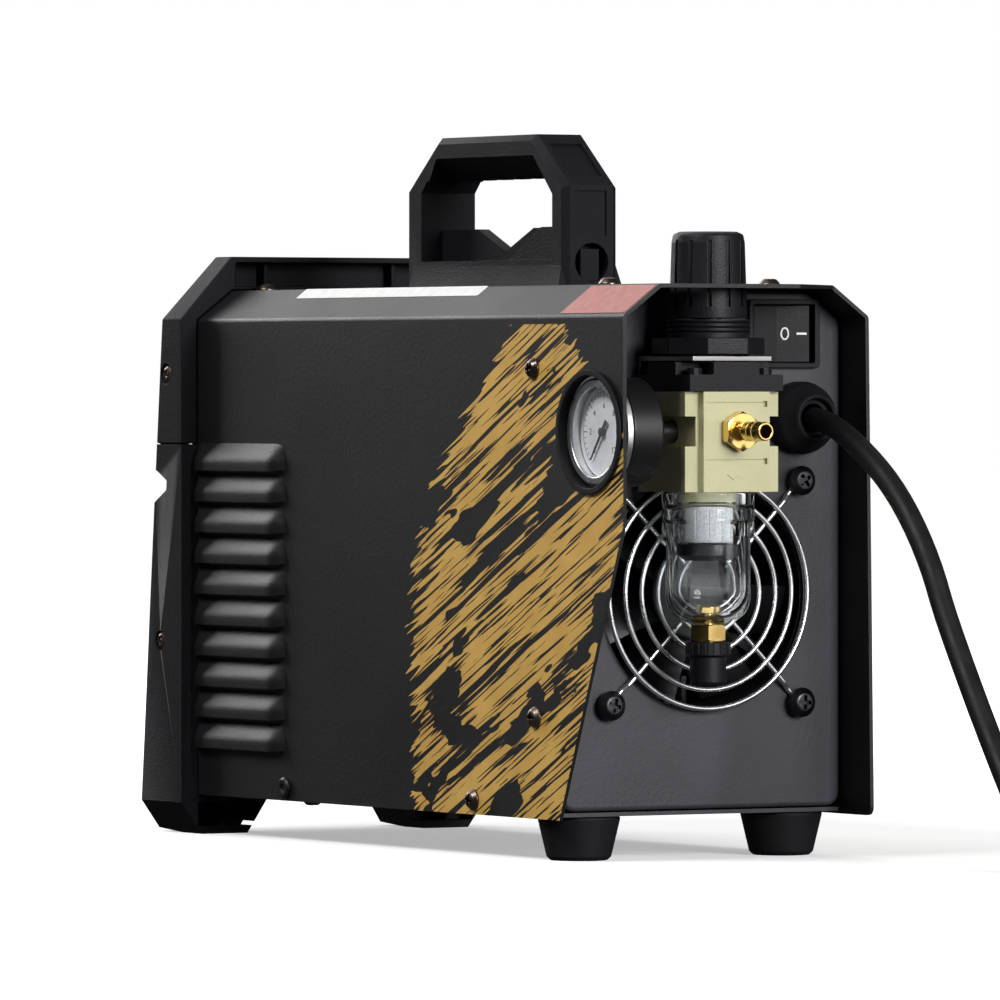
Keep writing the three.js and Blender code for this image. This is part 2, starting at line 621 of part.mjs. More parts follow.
function regulatorBonnet() {
  const { half } = REGULATOR;
  const neck = 15.4;
  let bonnet = join(prismZ(square(half), 157.8, 163.8), prismZ(cross(half, 9.8), 162, 168.4));
  bonnet = join(bonnet, turned(disc(neck, 168, 184)));
  const threads = 3;
  for (let i = 0; i < threads; i++) {
    const z = 179.2 + 1.7 * i;
    const groove = [[neck - 0.7, z + 0.3], [neck + 0.5, z - 0.3], [neck + 0.5, z + 0.9], [neck - 0.7, z + 0.3]];
    bonnet = cut(bonnet, turned(groove));
  }
  for (const x of [1, -1]) {
    for (const y of [1, -1]) bonnet = join(bonnet, turned(disc(2.8, 163, 166.2), 10).translate(15 * x, 15 * y, 0));
  }
  return cut(bonnet, turned(disc(5.4, 171.5, 185), 16));
}

// An angle plate: the ring nut clamps its level leg, its upright leg stands against the rear panel.
function bracketPlate() {
  const { y } = REGULATOR;
  const level = box([-17, 17], [GAP - y, 17], [168.7, 170.6]);
  const upright = box([-17, 17], [GAP - y, 1.9 - y], [126, 170.6]);
  const outletHole = turnedY(disc(6.4, -y - 1, 4 - y), 0, REGULATOR.port, 16);
  return cut(join(level, upright), turned(disc(15.9, 160, 175)), outletHole);
}

function ringNut() {
  const sides = 8;
  const flat = 19.2;
  const corner = flat / Math.cos(Math.PI / sides);
  const points = [];
  for (let i = 0; i < sides; i++) {
    const angle = ((i + 0.3) * 2 * Math.PI) / sides;
    points.push([corner * Math.cos(angle), corner * Math.sin(angle)]);
  }
  return cut(prismZ(points, 171.1, 177.3), turned(disc(15.8, 170, 179)));
}

const spindle = () => turned([[0, 172], [4.8, 172], [4.8, 186], [4, 187], [4, 206], [0, 206]], 16);

function regulatorKnob() {
  const grooves = 12;
  const top = 216.3;
  const profile = [
    [0, 184.4], [14.3, 184.4], [14.3, 188], [13.5, top - 4], [12.8, top - 1.3], [11.2, top], [0, top],
  ];
  let knob = turned(profile, 20);
  for (let i = 0; i < grooves; i++) {
    const groove = box([13.1, 16], [-0.8, 0.8], [189, top - 3]);
    knob = cut(knob, groove.rotateZ((2 * Math.PI * i) / grooves));
  }
  return cut(knob, turned([[0, 183], [5.1, 183], [5.1, 191], [4.3, 192], [4.3, 210], [0, 210]], 16));
}

function filterBowl() {
  const outer = 15.6;
  const wall = 1.8;
  const collar = 17.1;
  const round = (radius, low, from, to) => {
    const points = [];
    const steps = 5;
    for (let i = 0; i <= steps; i++) {
      const angle = from + ((to - from) * i) / steps;
      points.push([radius * Math.cos(angle), low + 11.8 + 11.8 * Math.sin(angle)]);
    }
    return points;
  };
  const outside = round(outer, 72, -1.25, 0);
  const inside = round(outer - wall, 74.4, 0, -1.2);
  const profile = [[3.1, 72.2], ...outside, [outer, 110], [collar, 110.6], [collar, 120.4], [12.6, 120.4],
    [12.6, 116], [outer - wall, 114], ...inside, [3.1, 74.6], [3.1, 72.2]];
  return turned(profile, 20);
}

const filterElement = () => turned([[4, 102], [9.1, 102], [9.1, 116.4], [4, 116.4], [4, 102]], 20);

const filterBaffle = () => turned([
  [0, 95.5], [8.5, 95.5], [11.6, 97.5], [11.6, 101.6], [3.6, 101.6], [3.6, 121.6], [0, 121.6],
], 20);

function drainValve() {
  const hexagon = new THREE.CylinderGeometry(7.2, 7.2, 6, 6).rotateX(Math.PI / 2).translate(0, 0, 68.9);
  const stem = turned([[0, 57], [2.6, 57], [2.6, 75.2], [4.6, 75.4], [4.6, 77.6], [0, 77.6]], 14);
  return join(hexagon, stem);
}

const drainKnob = () => turned([
  [2.9, 50], [6.2, 50], [6.75, 50.6], [6.75, 60], [8.35, 60.6], [8.35, 65.4], [2.9, 65.4], [2.9, 50],
], 20);

// A hose barb: a hexagon, three saw-tooth rings and a clear way through.
function inletBarb() {
  const face = REGULATOR.half;
  const bore = 2.3;
  const profile = [[bore, face - 8], [5.8, face - 8], [5.8, face + 0.4], [3.1, face + 0.4], [3.1, face + 8]];
  const rings = 3;
  for (let i = 0; i < rings; i++) {
    const start = face + 8 + 3.6 * i;
    profile.push([3.65, start], [3.65, start + 0.8], [3.05, start + 3.6]);
  }
  profile.push([3.5, face + 19.4], [3.2, face + 20.3], [bore, face + 20.3], [bore, face - 8]);
  const hexagon = new THREE.CylinderGeometry(7.4, 7.4, 4.4, 6).translate(0, face + 2.6, 0);
  const drilled = cut(hexagon, turnedY(disc(bore + 0.4, face - 2, face + 9), 0, 0, 12));
  return join(drilled, turnedY(profile, 0, 0, 14)).translate(0, 0, REGULATOR.port);
}

function outletFitting() {
  const face = -REGULATOR.half;
  const profile = [
    [2, face + 8], [4.9, face + 8], [4.9, face - 12], [3.2, face - 12], [3.2, face - 24], [2, face - 24],
    [2, face + 8],
  ];
  return turnedY(profile, 0, REGULATOR.port, 14);
}

const regulator = new THREE.Group();
regulator.position.set(REGULATOR.x, REGULATOR.y, 0);
machine.add(regulator);
piece('regulator_body', regulatorBody(), MATERIAL.gold, regulator);
piece('regulator_bonnet', regulatorBonnet(), MATERIAL.black, regulator);
piece('regulator_bracket', bracketPlate(), MATERIAL.zinc, regulator);
piece('regulator_ring_nut', ringNut(), MATERIAL.black, regulator);
piece('regulator_spindle', spindle(), MATERIAL.steel, regulator);
piece('regulator_knob', regulatorKnob(), MATERIAL.black, regulator);
piece('filter_bowl', filterBowl(), MATERIAL.clear, regulator);
piece('filter_element', filterElement(), MATERIAL.white, regulator);
piece('filter_baffle', filterBaffle(), MATERIAL.black, regulator);
piece('drain_valve', drainValve(), MATERIAL.brass, regulator);
piece('drain_knob', drainKnob(), MATERIAL.black, regulator);
piece('inlet_barb', inletBarb(), MATERIAL.brass, regulator);
piece('outlet_fitting', outletFitting(), MATERIAL.brass, regulator);

// ---------------------------------------------------------------- pressure gauge

// Drawn about its own axis, with the dial facing +X.
const gauge = new THREE.Group();
gauge.position.set(GAUGE.x, GAUGE.y, GAUGE.z);
machine.add(gauge);

function gaugeCase() {
  const { radius, back } = GAUGE;
  const shell = turnedX([[0, back], [radius - 1, back], [radius, back + 1], [radius, 53], [0, 53]], 0, 0, 22);
  const stem = turnedX(disc(4, REGULATOR.x + REGULATOR.half - 11, back + 1), 0, 0, 14);
  return join(shell, stem);
}

function gaugeBezel() {
  const { radius, front } = GAUGE;
  return turnedX([
    [17.4, 53.3], [radius, 53.3], [radius, front - 1], [radius - 1, front], [16.6, front],
    [16.1, front - 1], [17.4, front - 1.4], [17.4, 53.3],
  ], 0, 0, 22);
}

function gaugeNeedle() {
  const hub = turnedX(disc(1.6, 54.5, 55.9), 0, 0, 12);
  const blade = prismX([[-0.9, -5], [0.9, -5], [0.25, 13], [-0.25, 13]], 54.9, 55.5);
  return join(hub, blade);
}

piece('gauge_case', gaugeCase(), MATERIAL.black, gauge);
piece('gauge_bezel', gaugeBezel(), MATERIAL.chrome, gauge);
piece('gauge_dial', turnedX(disc(17, 53.4, 54.1), 0, 0, 16), MATERIAL.white, gauge);
piece('gauge_needle', gaugeNeedle(), MATERIAL.black, gauge).rotation.x = (142 * Math.PI) / 180;
piece('gauge_lens', turnedX(disc(17, 56.2, 56.9), 0, 0, 16), MATERIAL.clear, gauge);

// ---------------------------------------------------------------- inside the case

function heatSink() {
  const fins = 9;
  const low = BOARD.top + GAP;
  let block = box([-30, 30], [-150, -60], [low, low + 6]);
  for (let i = 0; i < fins; i++) {
    const x = -28.5 + (57 / (fins - 1)) * i;
    block = join(block, box([x - 1, x + 1], [-150, -60], [low + 5, low + 32]));
  }
  return block;
}

function transformer() {
  const low = BOARD.top + GAP;
  const yoke = box([-26, 26], [-218, -178], [low, low + 52]);
  const window = box([-16, 16], [-219, -177], [low + 10, low + 42]);
  return join(cut(yoke, window), box([-8, 8], [-218, -178], [low + 9, low + 43]));
}

const board = () =>
  box([-BOARD.half, BOARD.half], [BOARD.front, BOARD.rear], [BOARD.bottom, BOARD.top]);

const capacitor = () => turned([[0, 0], [11, 0], [11, 34], [10, 35], [0, 35]], 16);

function solenoidValve() {
  const body = box([-9, 9], [-78, -58], [133, 153]);
  const coil = box([-11, 11], [-82, -54], [152, 176]);
  const inlet = turnedY(disc(3.2, -59, -44), 0, REGULATOR.port, 12);
  const arm = box([8, 10], [-60, -COVER.sheet - GAP], [136, 150]);
  return join(body, coil, inlet, arm).translate(REGULATOR.x, 0, 0);
}

function airHose() {
  const inner = 3.5;
  const hose = turnedY(ring(inner, 5.5, -56, -10.5), REGULATOR.x, REGULATOR.port, 14);
  return hose;
}

piece('main_board', board(), MATERIAL.board);
piece('heat_sink', heatSink(), MATERIAL.aluminium);
piece('transformer', transformer(), MATERIAL.copper);
for (let i = 0; i < 2; i++) {
  piece(`capacitor_${i + 1}`, capacitor(), MATERIAL.blue).position.set(41, -160 - 25 * i, BOARD.top + GAP);
}
piece('solenoid_valve', solenoidValve(), MATERIAL.black);
piece('air_hose', airHose(), MATERIAL.blue);

// ---------------------------------------------------------------- power cord

// The gland: a nut inside the panel, a domed base outside it and a ringed nose.
function cordGland() {
  const { x, z, base, nose, length } = GLAND;
  const throat = 5.2;
  const profile = [
    [throat, -9], [11.5, -9], [11.5, -1.9], [8.4, -1.9], [8.4, GAP], [base, GAP], [base, 5], [base - 1, 8],
    [nose + 1, 12], [nose, length - 1], [nose - 0.8, length], [nose - 1.8, length - 0.6], [nose - 2.4, 12],
    [throat, 11.6], [throat, -9],
  ];
  return turnedY(profile, x, z, 16);
}

const cordRadius = CORD.diameter / 2;
const coilBottom = FLOOR + CORD.tieThick + GAP;
const coilHeight = CORD.layers * CORD.diameter;
const coilOuter = CORD.middle + (CORD.turns / 2) * CORD.diameter;
const coilInner = CORD.middle - (CORD.turns / 2) * CORD.diameter;
const onFloor = FLOOR + cordRadius + 0.3;

// From the gland the cord hangs in one curve, lands behind the machine and runs up to its coil.
const CORD_RUN = [
  [GLAND.x, 12, 147.6], [-41, 20, 146.2], [-41, 32.2, 142.3], [-41, 50.7, 132.9], [-41, 67.2, 121.6],
  [-41, 81.4, 107.8], [-41, 92.8, 92.7], [-41, 102.4, 75.7], [-41, 119, 50.5], [-41, 136, 26.5],
  [-41, 150, 8.5], [-41, 164, -3.4], [-41, 179, -9.6], [-41, 191, onFloor],
];

function coil() {
  const [low, high] = [coilBottom, coilBottom + coilHeight];
  return turned(ring(coilInner, coilOuter, low, high), 22).translate(CORD.x, CORD.y, 0);
}

// A strap round the coil's section, on the side away from the machine.
function coilTie() {
  const thick = CORD.tieThick;
  const [near, far] = [coilInner - 3 * GAP, coilOuter + GAP];
  const [low, high] = [coilBottom - GAP, coilBottom + coilHeight + GAP];
  const strap = box([-far - thick, -near + thick], [-2.5, 2.5], [low - thick, high + thick]);
  const inside = box([-far, -near], [-8, 8], [low, high]);
  return cut(strap, inside).translate(CORD.x, CORD.y, 0);
}

// The end of the cord crosses the top of the coil in a tighter bend, straight into the plug lying there.
const TOP = { height: coilBottom + coilHeight + GAP, leave: 17, bend: 40, turn: 75 };
const PLUG = { radius: 18.5, height: 22, entry: 9, relief: 26.5 };
const radians = (degrees) => (degrees * Math.PI) / 180;
const bendX = CORD.x + (CORD.middle - TOP.bend) * Math.cos(radians(TOP.leave));
const bendY = CORD.y + (CORD.middle - TOP.bend) * Math.sin(radians(TOP.leave));
const heading = TOP.leave + TOP.turn;
const plugEntry = TOP.height + PLUG.entry;

// A point on the tighter bend, `along` going from 0 to 1.
function tailPoint(along) {
  const angle = radians(TOP.leave + TOP.turn * along);
  const height = TOP.height + cordRadius + (PLUG.entry - cordRadius) * along;
  return [bendX + TOP.bend * Math.cos(angle), bendY + TOP.bend * Math.sin(angle), height];
}

// The point a distance past the end of the bend, level with the plug's entry.
function pastBend(distance) {
  const [x, y] = tailPoint(1);
  return [x - distance * Math.sin(radians(heading)), y + distance * Math.cos(radians(heading)), plugEntry];
}

const tailStart = [
  CORD.x + CORD.middle * Math.cos(radians(5)), CORD.y + CORD.middle * Math.sin(radians(5)), TOP.height + cordRadius,
];
const CORD_TAIL = [tailStart, ...[0, 0.25, 0.5, 0.75, 1].map(tailPoint), pastBend(3)];
const [plugX, plugY] = pastBend(3 + PLUG.relief + PLUG.radius);

// A flat round mains plug lying on its back, the cord leaving at its side along X.
function plugBody() {
  const { radius, height, entry, relief } = PLUG;
  const body = turned([[0, 0], [radius - 1.5, 0], [radius, 1.5], [radius, height], [0, height]], 20);
  const nose = turnedX([[0, 10], [7.5, 10], [7.5, radius + 3], [5, radius + relief], [0, radius + relief]], 0, entry, 14);
  const recess = turned(ring(6.6, radius - 1.6, height - 9, height + 1), 20);
  const socketHoles = [9.5, -9.5].map((y) => turned(disc(2.55, height - 12, height + 1), 12).translate(0, y, 0));
  return cut(join(body, nose), cut(recess, box([-4, 4], [-20, 20], [0, 40])), ...socketHoles);
}

function plugPin() {
  const { height } = PLUG;
  return turned([[0, height - 11.5], [2.4, height - 11.5], [2.4, height + 6], [1.6, height + 7.5], [0, height + 7.5]], 12);
}

piece('cord_gland', cordGland(), MATERIAL.rubber);
piece('power_cord', bar(CORD_RUN, cordRadius, 5, 22), MATERIAL.rubber);
piece('cord_coil', coil(), MATERIAL.rubber);
piece('cord_tie', coilTie(), MATERIAL.black);
piece('cord_tail', bar(CORD_TAIL, cordRadius, 5, 8), MATERIAL.rubber);

const plug = new THREE.Group();
plug.position.set(plugX, plugY, TOP.height);
plug.rotation.z = radians(heading - 90);
machine.add(plug);
piece('power_plug', plugBody(), MATERIAL.rubber, plug);
for (const side of [1, -1]) {
  piece(side > 0 ? 'plug_pin_1' : 'plug_pin_2', plugPin(), MATERIAL.chrome, plug).position.set(0, 9.5 * side, 0);
}

export default machine;
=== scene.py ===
"""The looks of the plasma cutter unit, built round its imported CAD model.

Shapes are drawn in millimetres from the machine's datum, as in the CAD source: X from the centre line,
Y from the outside of the rear panel, Z from the bottom edge of the cover.
"""

import json
import math

import bmesh
import bpy
from mathutils import Matrix, Vector


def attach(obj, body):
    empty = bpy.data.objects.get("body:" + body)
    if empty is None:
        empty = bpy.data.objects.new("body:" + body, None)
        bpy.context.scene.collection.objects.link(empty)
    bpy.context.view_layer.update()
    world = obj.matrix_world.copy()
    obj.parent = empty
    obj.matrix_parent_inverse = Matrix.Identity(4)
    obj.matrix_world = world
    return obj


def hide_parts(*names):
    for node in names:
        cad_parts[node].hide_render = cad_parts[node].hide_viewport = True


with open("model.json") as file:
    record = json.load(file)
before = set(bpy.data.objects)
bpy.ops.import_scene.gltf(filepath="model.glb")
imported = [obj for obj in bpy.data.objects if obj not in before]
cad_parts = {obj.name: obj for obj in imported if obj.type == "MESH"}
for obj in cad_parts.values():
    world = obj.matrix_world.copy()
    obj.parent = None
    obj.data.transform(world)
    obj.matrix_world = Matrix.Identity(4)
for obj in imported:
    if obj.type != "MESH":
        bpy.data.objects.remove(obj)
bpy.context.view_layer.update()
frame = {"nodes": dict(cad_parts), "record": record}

MM = 0.001
MACHINE = Matrix.Scale(MM, 4) @ Matrix.Translation((0, 122.5, 15.5))
FLOOR = -15.5
BODY_OF = {node: body for body, nodes in frame["record"]["behaviour"]["bodies"].items() for node in nodes}

COVER_HALF, COVER_BEND, COVER_TOP, COVER_TOP_HALF = 62, 185.4, 197, 46.3
COVER_SHEET, COVER_FRONT, COVER_REAR = 1.5, -281, 45.8
RAKE_SLOPE = (-308 + 291.6) / (5 - 186)
PANEL_Z = 97
SWITCH_X, SWITCH_Z = -34.3, 179.1
FAN_Z, FAN_SCREWS = 83.2, 41.25
GLAND_X, GLAND_Z = -41, 147.8
REGULATOR_X, REGULATOR_Y, PORT_Z = 11.4, 22.4, 143
GAUGE_X, GAUGE_Y, GAUGE_Z = 1.9, 22.4, 142.8

REGULATOR = MACHINE @ Matrix.Translation((REGULATOR_X, REGULATOR_Y, 0))
GAUGE = MACHINE @ Matrix.Translation((GAUGE_X, GAUGE_Y, GAUGE_Z))
CONTROLS = (
    MACHINE
    @ Matrix.Translation((0, -308 + RAKE_SLOPE * (PANEL_Z - 5) + 8, PANEL_Z))
    @ Matrix.Rotation(-math.atan(RAKE_SLOPE), 4, "X")
)


# ---------------------------------------------------------------- camera

def make_camera():
    data = bpy.data.cameras.new("camera")
    data.lens = 360
    data.sensor_width = 36
    data.clip_end = 60
    camera = bpy.data.objects.new("camera", data)
    camera.location = (1.9362, 3.2787, 0.1741)
    aim = Vector((0.0640, 0.0833, 0.1329))
    camera.rotation_euler = (aim - camera.location).to_track_quat("-Z", "Y").to_euler()
    bpy.context.scene.collection.objects.link(camera)
    bpy.context.scene.camera = camera


make_camera()


# ---------------------------------------------------------------- outlines

def rounded(points, radius, steps=4, closed=True):
    """A 2-D outline with its corners rounded. A point may carry its own radius as a third number."""
    out = []
    count = len(points)
    for i, point in enumerate(points):
        here = Vector(point[:2])
        own = point[2] if len(point) > 2 else radius
        if own == 0 or (not closed and i in (0, count - 1)):
            out.append(tuple(here))
            continue
        back = Vector(points[i - 1][:2]) - here
        ahead = Vector(points[(i + 1) % count][:2]) - here
        turn = back.angle(ahead)
        if turn > math.pi - 0.02:
            out.append(tuple(here))
            continue
        reach = min(own / math.tan(turn / 2), 0.48 * back.length, 0.48 * ahead.length)
        start = here + back.normalized() * reach
        end = here + ahead.normalized() * reach
        for s in range(steps + 1):
            t = s / steps
            out.append(tuple(start * (1 - t) ** 2 + here * (2 * t * (1 - t)) + end * t ** 2))
    return out


def mirrored(points):
    return list(points) + [(-p[0], *p[1:]) for p in reversed(points)]


def rectangle(x0, x1, y0, y1):
    return [(x0, y0), (x1, y0), (x1, y1), (x0, y1)]


def circle(radius, sides=64, centre=(0, 0)):
    turn = 2 * math.pi / sides
    x, y = centre
    return [(x + radius * math.cos(turn * i), y + radius * math.sin(turn * i)) for i in range(sides)]


def smoothstep(t):
    t = min(1.0, max(0.0, t))
    return t * t * (3 - 2 * t)


# ---------------------------------------------------------------- solids

# Where an outline's two directions and the run between its ends point, for each axis of a prism.
AXES = {
    "X": lambda u, v, w: (w, u, v),
    "Y": lambda u, v, w: (u, w, v),
    "Z": lambda u, v, w: (u, v, w),
}


def placed(mesh):
    made = bpy.data.objects.new("shape", mesh)
    bpy.context.scene.collection.objects.link(made)
    return made


def shape(verts, faces):
    mesh = bpy.data.meshes.new("shape")
    mesh.from_pydata([tuple(v) for v in verts], [], faces)
    solid = bmesh.new()
    solid.from_mesh(mesh)
    bmesh.ops.recalc_face_normals(solid, faces=solid.faces)
    solid.to_mesh(mesh)
    solid.free()
    return placed(mesh)


def loft(first, second):
    """Two rings of as many points, joined and capped."""
    count = len(first)
    sides = [(i, (i + 1) % count, count + (i + 1) % count, count + i) for i in range(count)]
    return shape([*first, *second], [tuple(range(count)), tuple(range(count, 2 * count)), *sides])


def prism(axis, outline, low, high):
    put = AXES[axis]
    return loft(*[[put(u, v, w) for u, v in outline] for w in (low, high)])


def block(x, y, z):
    return prism("Z", rectangle(x[0], x[1], y[0], y[1]), z[0], z[1])


def lathe(axis, profile, sides=64, centre=(0, 0)):
    """A profile of (radius, distance) turned about an axis: from axis to axis, or closed on itself."""
    put = AXES[axis]
    closed = profile[0] == profile[-1]
    rows = []
    verts = []
    for radius, distance in profile[:-1] if closed else profile:
        if radius < 1e-6:
            rows.append([len(verts)] * sides)
            verts.append(put(centre[0], centre[1], distance))
            continue
        rows.append(range(len(verts), len(verts) + sides))
        verts += [put(u, v, distance) for u, v in circle(radius, sides, centre)]
    faces = []
    for a, b in zip(rows, rows[1:] + rows[:1] if closed else rows[1:]):
        for i in range(sides):
            j = (i + 1) % sides
            corners = list(dict.fromkeys((a[i], a[j], b[j], b[i])))
            if len(corners) > 2:
                faces.append(tuple(corners))
    return shape(verts, faces)


def disc(radius, low, high, edge=0.0):
    return rounded([(0, low, 0), (radius, low), (radius, high), (0, high, 0)], edge, 3, closed=False)


def turned(axis, profile, edge, steps=4, sides=64, centre=(0, 0)):
    """A solid turned from a profile that starts and ends on the axis, with its edges rounded."""
    return lathe(axis, rounded(profile, edge, steps, closed=False), sides, centre)


def ring(axis, profile, edge, steps=3, sides=64, centre=(0, 0)):
    """A ring turned from a closed profile, with its edges rounded."""
    profile = rounded(profile, edge, steps)
    return lathe(axis, profile + profile[:1], sides, centre)


def tube(path, radius, sides=12, closed=False):
    """A round wire along a path of points."""
    points = [Vector(p) for p in path]
    count = len(points)
    verts, faces = [], []
    side = None
    for i, point in enumerate(points):
        after = points[(i + 1) % count] if closed or i + 1 < count else point
        before = points[i - 1] if closed or i else point
        along = (after - before).normalized()
        if side is None:
            side = along.orthogonal().normalized()
        side = (side - along * side.dot(along)).normalized()
        up = along.cross(side)
        verts += [point + side * (radius * u) + up * (radius * v) for u, v in circle(1, sides)]
    for i in range(count if closed else count - 1):
        j = (i + 1) % count
        for k in range(sides):
            n = (k + 1) % sides
            faces.append((i * sides + k, i * sides + n, j * sides + n, j * sides + k))
    if not closed:
        faces += [tuple(range(sides)), tuple(range((count - 1) * sides, count * sides))]
    return shape(verts, faces)


def surface(rows, thickness):
    """A grid of points made into a sheet of the given thickness."""
    width = len(rows[0])
    verts = [p for row in rows for p in row]
    faces = []
    for i in range(len(rows) - 1):
        for j in range(width - 1):
            a = i * width + j
            faces.append((a, a + 1, a + width + 1, a + width))
    made = shape(verts, faces)
    made.modifiers.new("thick", "SOLIDIFY").thickness = thickness
    return settled(made)


def settled(made):
    """Applies a shape's modifiers."""
    bpy.context.view_layer.update()
    graph = bpy.context.evaluated_depsgraph_get()
    mesh = bpy.data.meshes.new_from_object(made.evaluated_get(graph))
    made.modifiers.clear()
    old = made.data
    made.data = mesh
    bpy.data.meshes.remove(old)
    return made


def boolean(operation, made, others):
    for other in others:
        cutter = made.modifiers.new("cut", "BOOLEAN")
        cutter.operation = operation
        cutter.solver = "EXACT"
        cutter.object = other
    settled(made)
    for other in others:
        bpy.data.objects.remove(other)
    return made


def carve(made, *tools):
    return boolean("DIFFERENCE", made, tools)


def fuse(made, *others):
    return boolean("UNION", made, others)


def gather(*parts):
    """Several closed shapes as one object, left as they are."""
    solid = bmesh.new()
    for part in parts:
        solid.from_mesh(part.data)
    solid.to_mesh(parts[0].data)
    solid.free()
    for part in parts[1:]:
        bpy.data.objects.remove(part)
    return parts[0]


def moved(made, matrix):
    made.data.transform(matrix)
    if matrix.determinant() < 0:
        made.data.flip_normals()
    return made


def copied(made, matrix):
    return moved(placed(made.data.copy()), matrix)


def around(count, axis, make, offset=0.0):
    """Shapes spaced evenly round an axis. The offset is a part of one step."""
    step = math.tau / count
    return [moved(make(), Matrix.Rotation(step * (i + offset), 4, axis)) for i in range(count)]


def cleaned(made, gap):
    """Joins doubled corners and merges flat neighbouring faces."""
    solid = bmesh.new()
    solid.from_mesh(made.data)
    bmesh.ops.remove_doubles(solid, verts=solid.verts, dist=gap)
    bmesh.ops.dissolve_limit(solid, angle_limit=math.radians(0.6), verts=solid.verts, edges=solid.edges)
    solid.to_mesh(made.data)
    solid.free()
    return made


def soften(made, width, segments=2, angle=32):
    """Rounds every edge sharper than the angle."""
    cleaned(made, width * 0.02)
    bevel = made.modifiers.new("edges", "BEVEL")
    bevel.width = width
    bevel.segments = segments
    bevel.limit_method = "ANGLE"
    bevel.angle_limit = math.radians(angle)
    bevel.miter_outer = "MITER_ARC"
    bevel.use_clamp_overlap = True
    return settled(made)


def from_cad(node):
    """A copy of a CAD node, back in millimetres from the datum."""
    made = placed(frame["nodes"][node].data.copy())
    made.data.materials.clear()
    return cleaned(moved(made, MACHINE.inverted()), 0.01)


# ---------------------------------------------------------------- pieces

def show(name, made, material, body="chassis", at=MACHINE, sharp=38):
    made.name = name
    made.data.name = name
    made.data.materials.clear()
    made.data.materials.append(material)
    moved(made, at)
    made.data.shade_smooth()
    made.data.set_sharp_from_angle(angle=math.radians(sharp))
    even = made.modifiers.new("even", "WEIGHTED_NORMAL")
    even.keep_sharp = True
    settled(made)
    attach(made, body)
    return made


def stand_in(node, made, material, at=MACHINE, sharp=38):
    """Shows a finer piece in the place of a CAD node."""
    show("visual_" + node, made, material, BODY_OF[node], at, sharp)
    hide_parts(node)
    return made


def repaint(material, *nodes):
    """Leaves CAD nodes as they are, with a better material."""
    for node in nodes:
        kept = frame["nodes"][node]
        for place in kept.material_slots:
            place.material = material


# ---------------------------------------------------------------- materials

class Finish:
    """A procedural material. Its patterns are placed by the piece's own coordinates, in metres."""

    def __init__(self, name, slot):
        self.material = bpy.data.materials.new(name)
        self.material["slot"] = slot
        self.material.use_nodes = True
        self.tree = self.material.node_tree
        self.shader = self.tree.nodes["Principled BSDF"]
        self.where = self.tree.nodes.new("ShaderNodeTexCoord").outputs["Object"]

    def node(self, kind, inputs=(), **settings):
        made = self.tree.nodes.new("ShaderNode" + kind)
        for key, value in settings.items():
            setattr(made, key, value)
        for key, value in dict(inputs).items():
            if isinstance(value, bpy.types.NodeSocket):
                self.tree.links.new(value, made.inputs[key])
            else:
                made.inputs[key].default_value = value
        return made

    def value(self, operation, *inputs, clamp=False):
        return self.node("Math", enumerate(inputs), operation=operation, use_clamp=clamp).outputs[0]

    def stretched(self, scale, turn=(0, 0, 0)):
        return self.node("Mapping", {"Vector": self.where, "Scale": scale, "Rotation": turn}).outputs[0]

    def noise(self, scale, detail=3.0, rough=0.5, where=None):
        inputs = {"Vector": where or self.where, "Scale": scale, "Detail": detail, "Roughness": rough}
        return self.node("TexNoise", inputs).outputs["Fac"]

    def between(self, factor, low, high):
        """A number that goes from low to high as the factor goes from 0.3 to 0.7, where noise mostly lies."""
        inputs = {"Value": factor, "From Min": 0.3, "From Max": 0.7, "To Min": low, "To Max": high}
        return self.node("MapRange", inputs).outputs[0]

    def tint(self, factor, first, second):
        made = self.node("Mix", {"Factor": factor}, data_type="RGBA")
        for socket, colour in ((6, first), (7, second)):
            if isinstance(colour, bpy.types.NodeSocket):
                self.tree.links.new(colour, made.inputs[socket])
            else:
                made.inputs[socket].default_value = (*colour, 1)
        return made.outputs[2]

    def bump(self, height, depth):
        made = self.node("Bump", {"Height": height, "Distance": depth, "Strength": 1.0})
        self.tree.links.new(made.outputs[0], self.shader.inputs["Normal"])

    def use(self, **sockets):
        for key, value in sockets.items():
            socket = self.shader.inputs[key.replace("_", " ")]
            if isinstance(value, bpy.types.NodeSocket):
                self.tree.links.new(value, socket)
            else:
                socket.default_value = value
        return self


def toned(finish, colour, spread, scale=30):
    """The colour, drifting a little lighter and darker over the piece."""
    lighter = [min(1, c * (1 + spread)) for c in colour]
    darker = [c * (1 - spread) for c in colour]
    return finish.tint(finish.between(finish.noise(scale), 0, 1), darker, lighter)


def powder_coat(name, slot, colour, rough):
    """Oven paint: a fine even pimple, slightly uneven gloss and a few rubbed patches."""
    finish = Finish(name, slot)
    rubbed = finish.noise(9, 4, 0.6)
    fine = finish.noise(1500, 2)
    finish.use(
        Base_Color=toned(finish, colour, 0.12),
        Roughness=finish.value("ADD", finish.between(rubbed, rough - 0.06, rough + 0.05),
                               finish.between(fine, -0.03, 0.03)),
        IOR=1.45,
    )
    finish.bump(finish.value("ADD", fine, finish.noise(520, 1)), 0.00006)
    return finish


def moulded(name, slot, colour, rough, grain=1900, depth=0.00008, sheen=0.5):
    """Moulded plastic with an eroded grain."""
    finish = Finish(name, slot)
    pits = finish.node("TexVoronoi", {"Vector": finish.where, "Scale": grain}).outputs["Distance"]
    finish.use(
        Base_Color=toned(finish, colour, 0.10, 22),
        Roughness=finish.between(finish.noise(14, 4, 0.6), rough - 0.07, rough + 0.06),
        Specular_IOR_Level=sheen,
    )
    finish.bump(finish.value("ADD", pits, finish.noise(grain * 0.6, 2)), depth)
    return finish.material


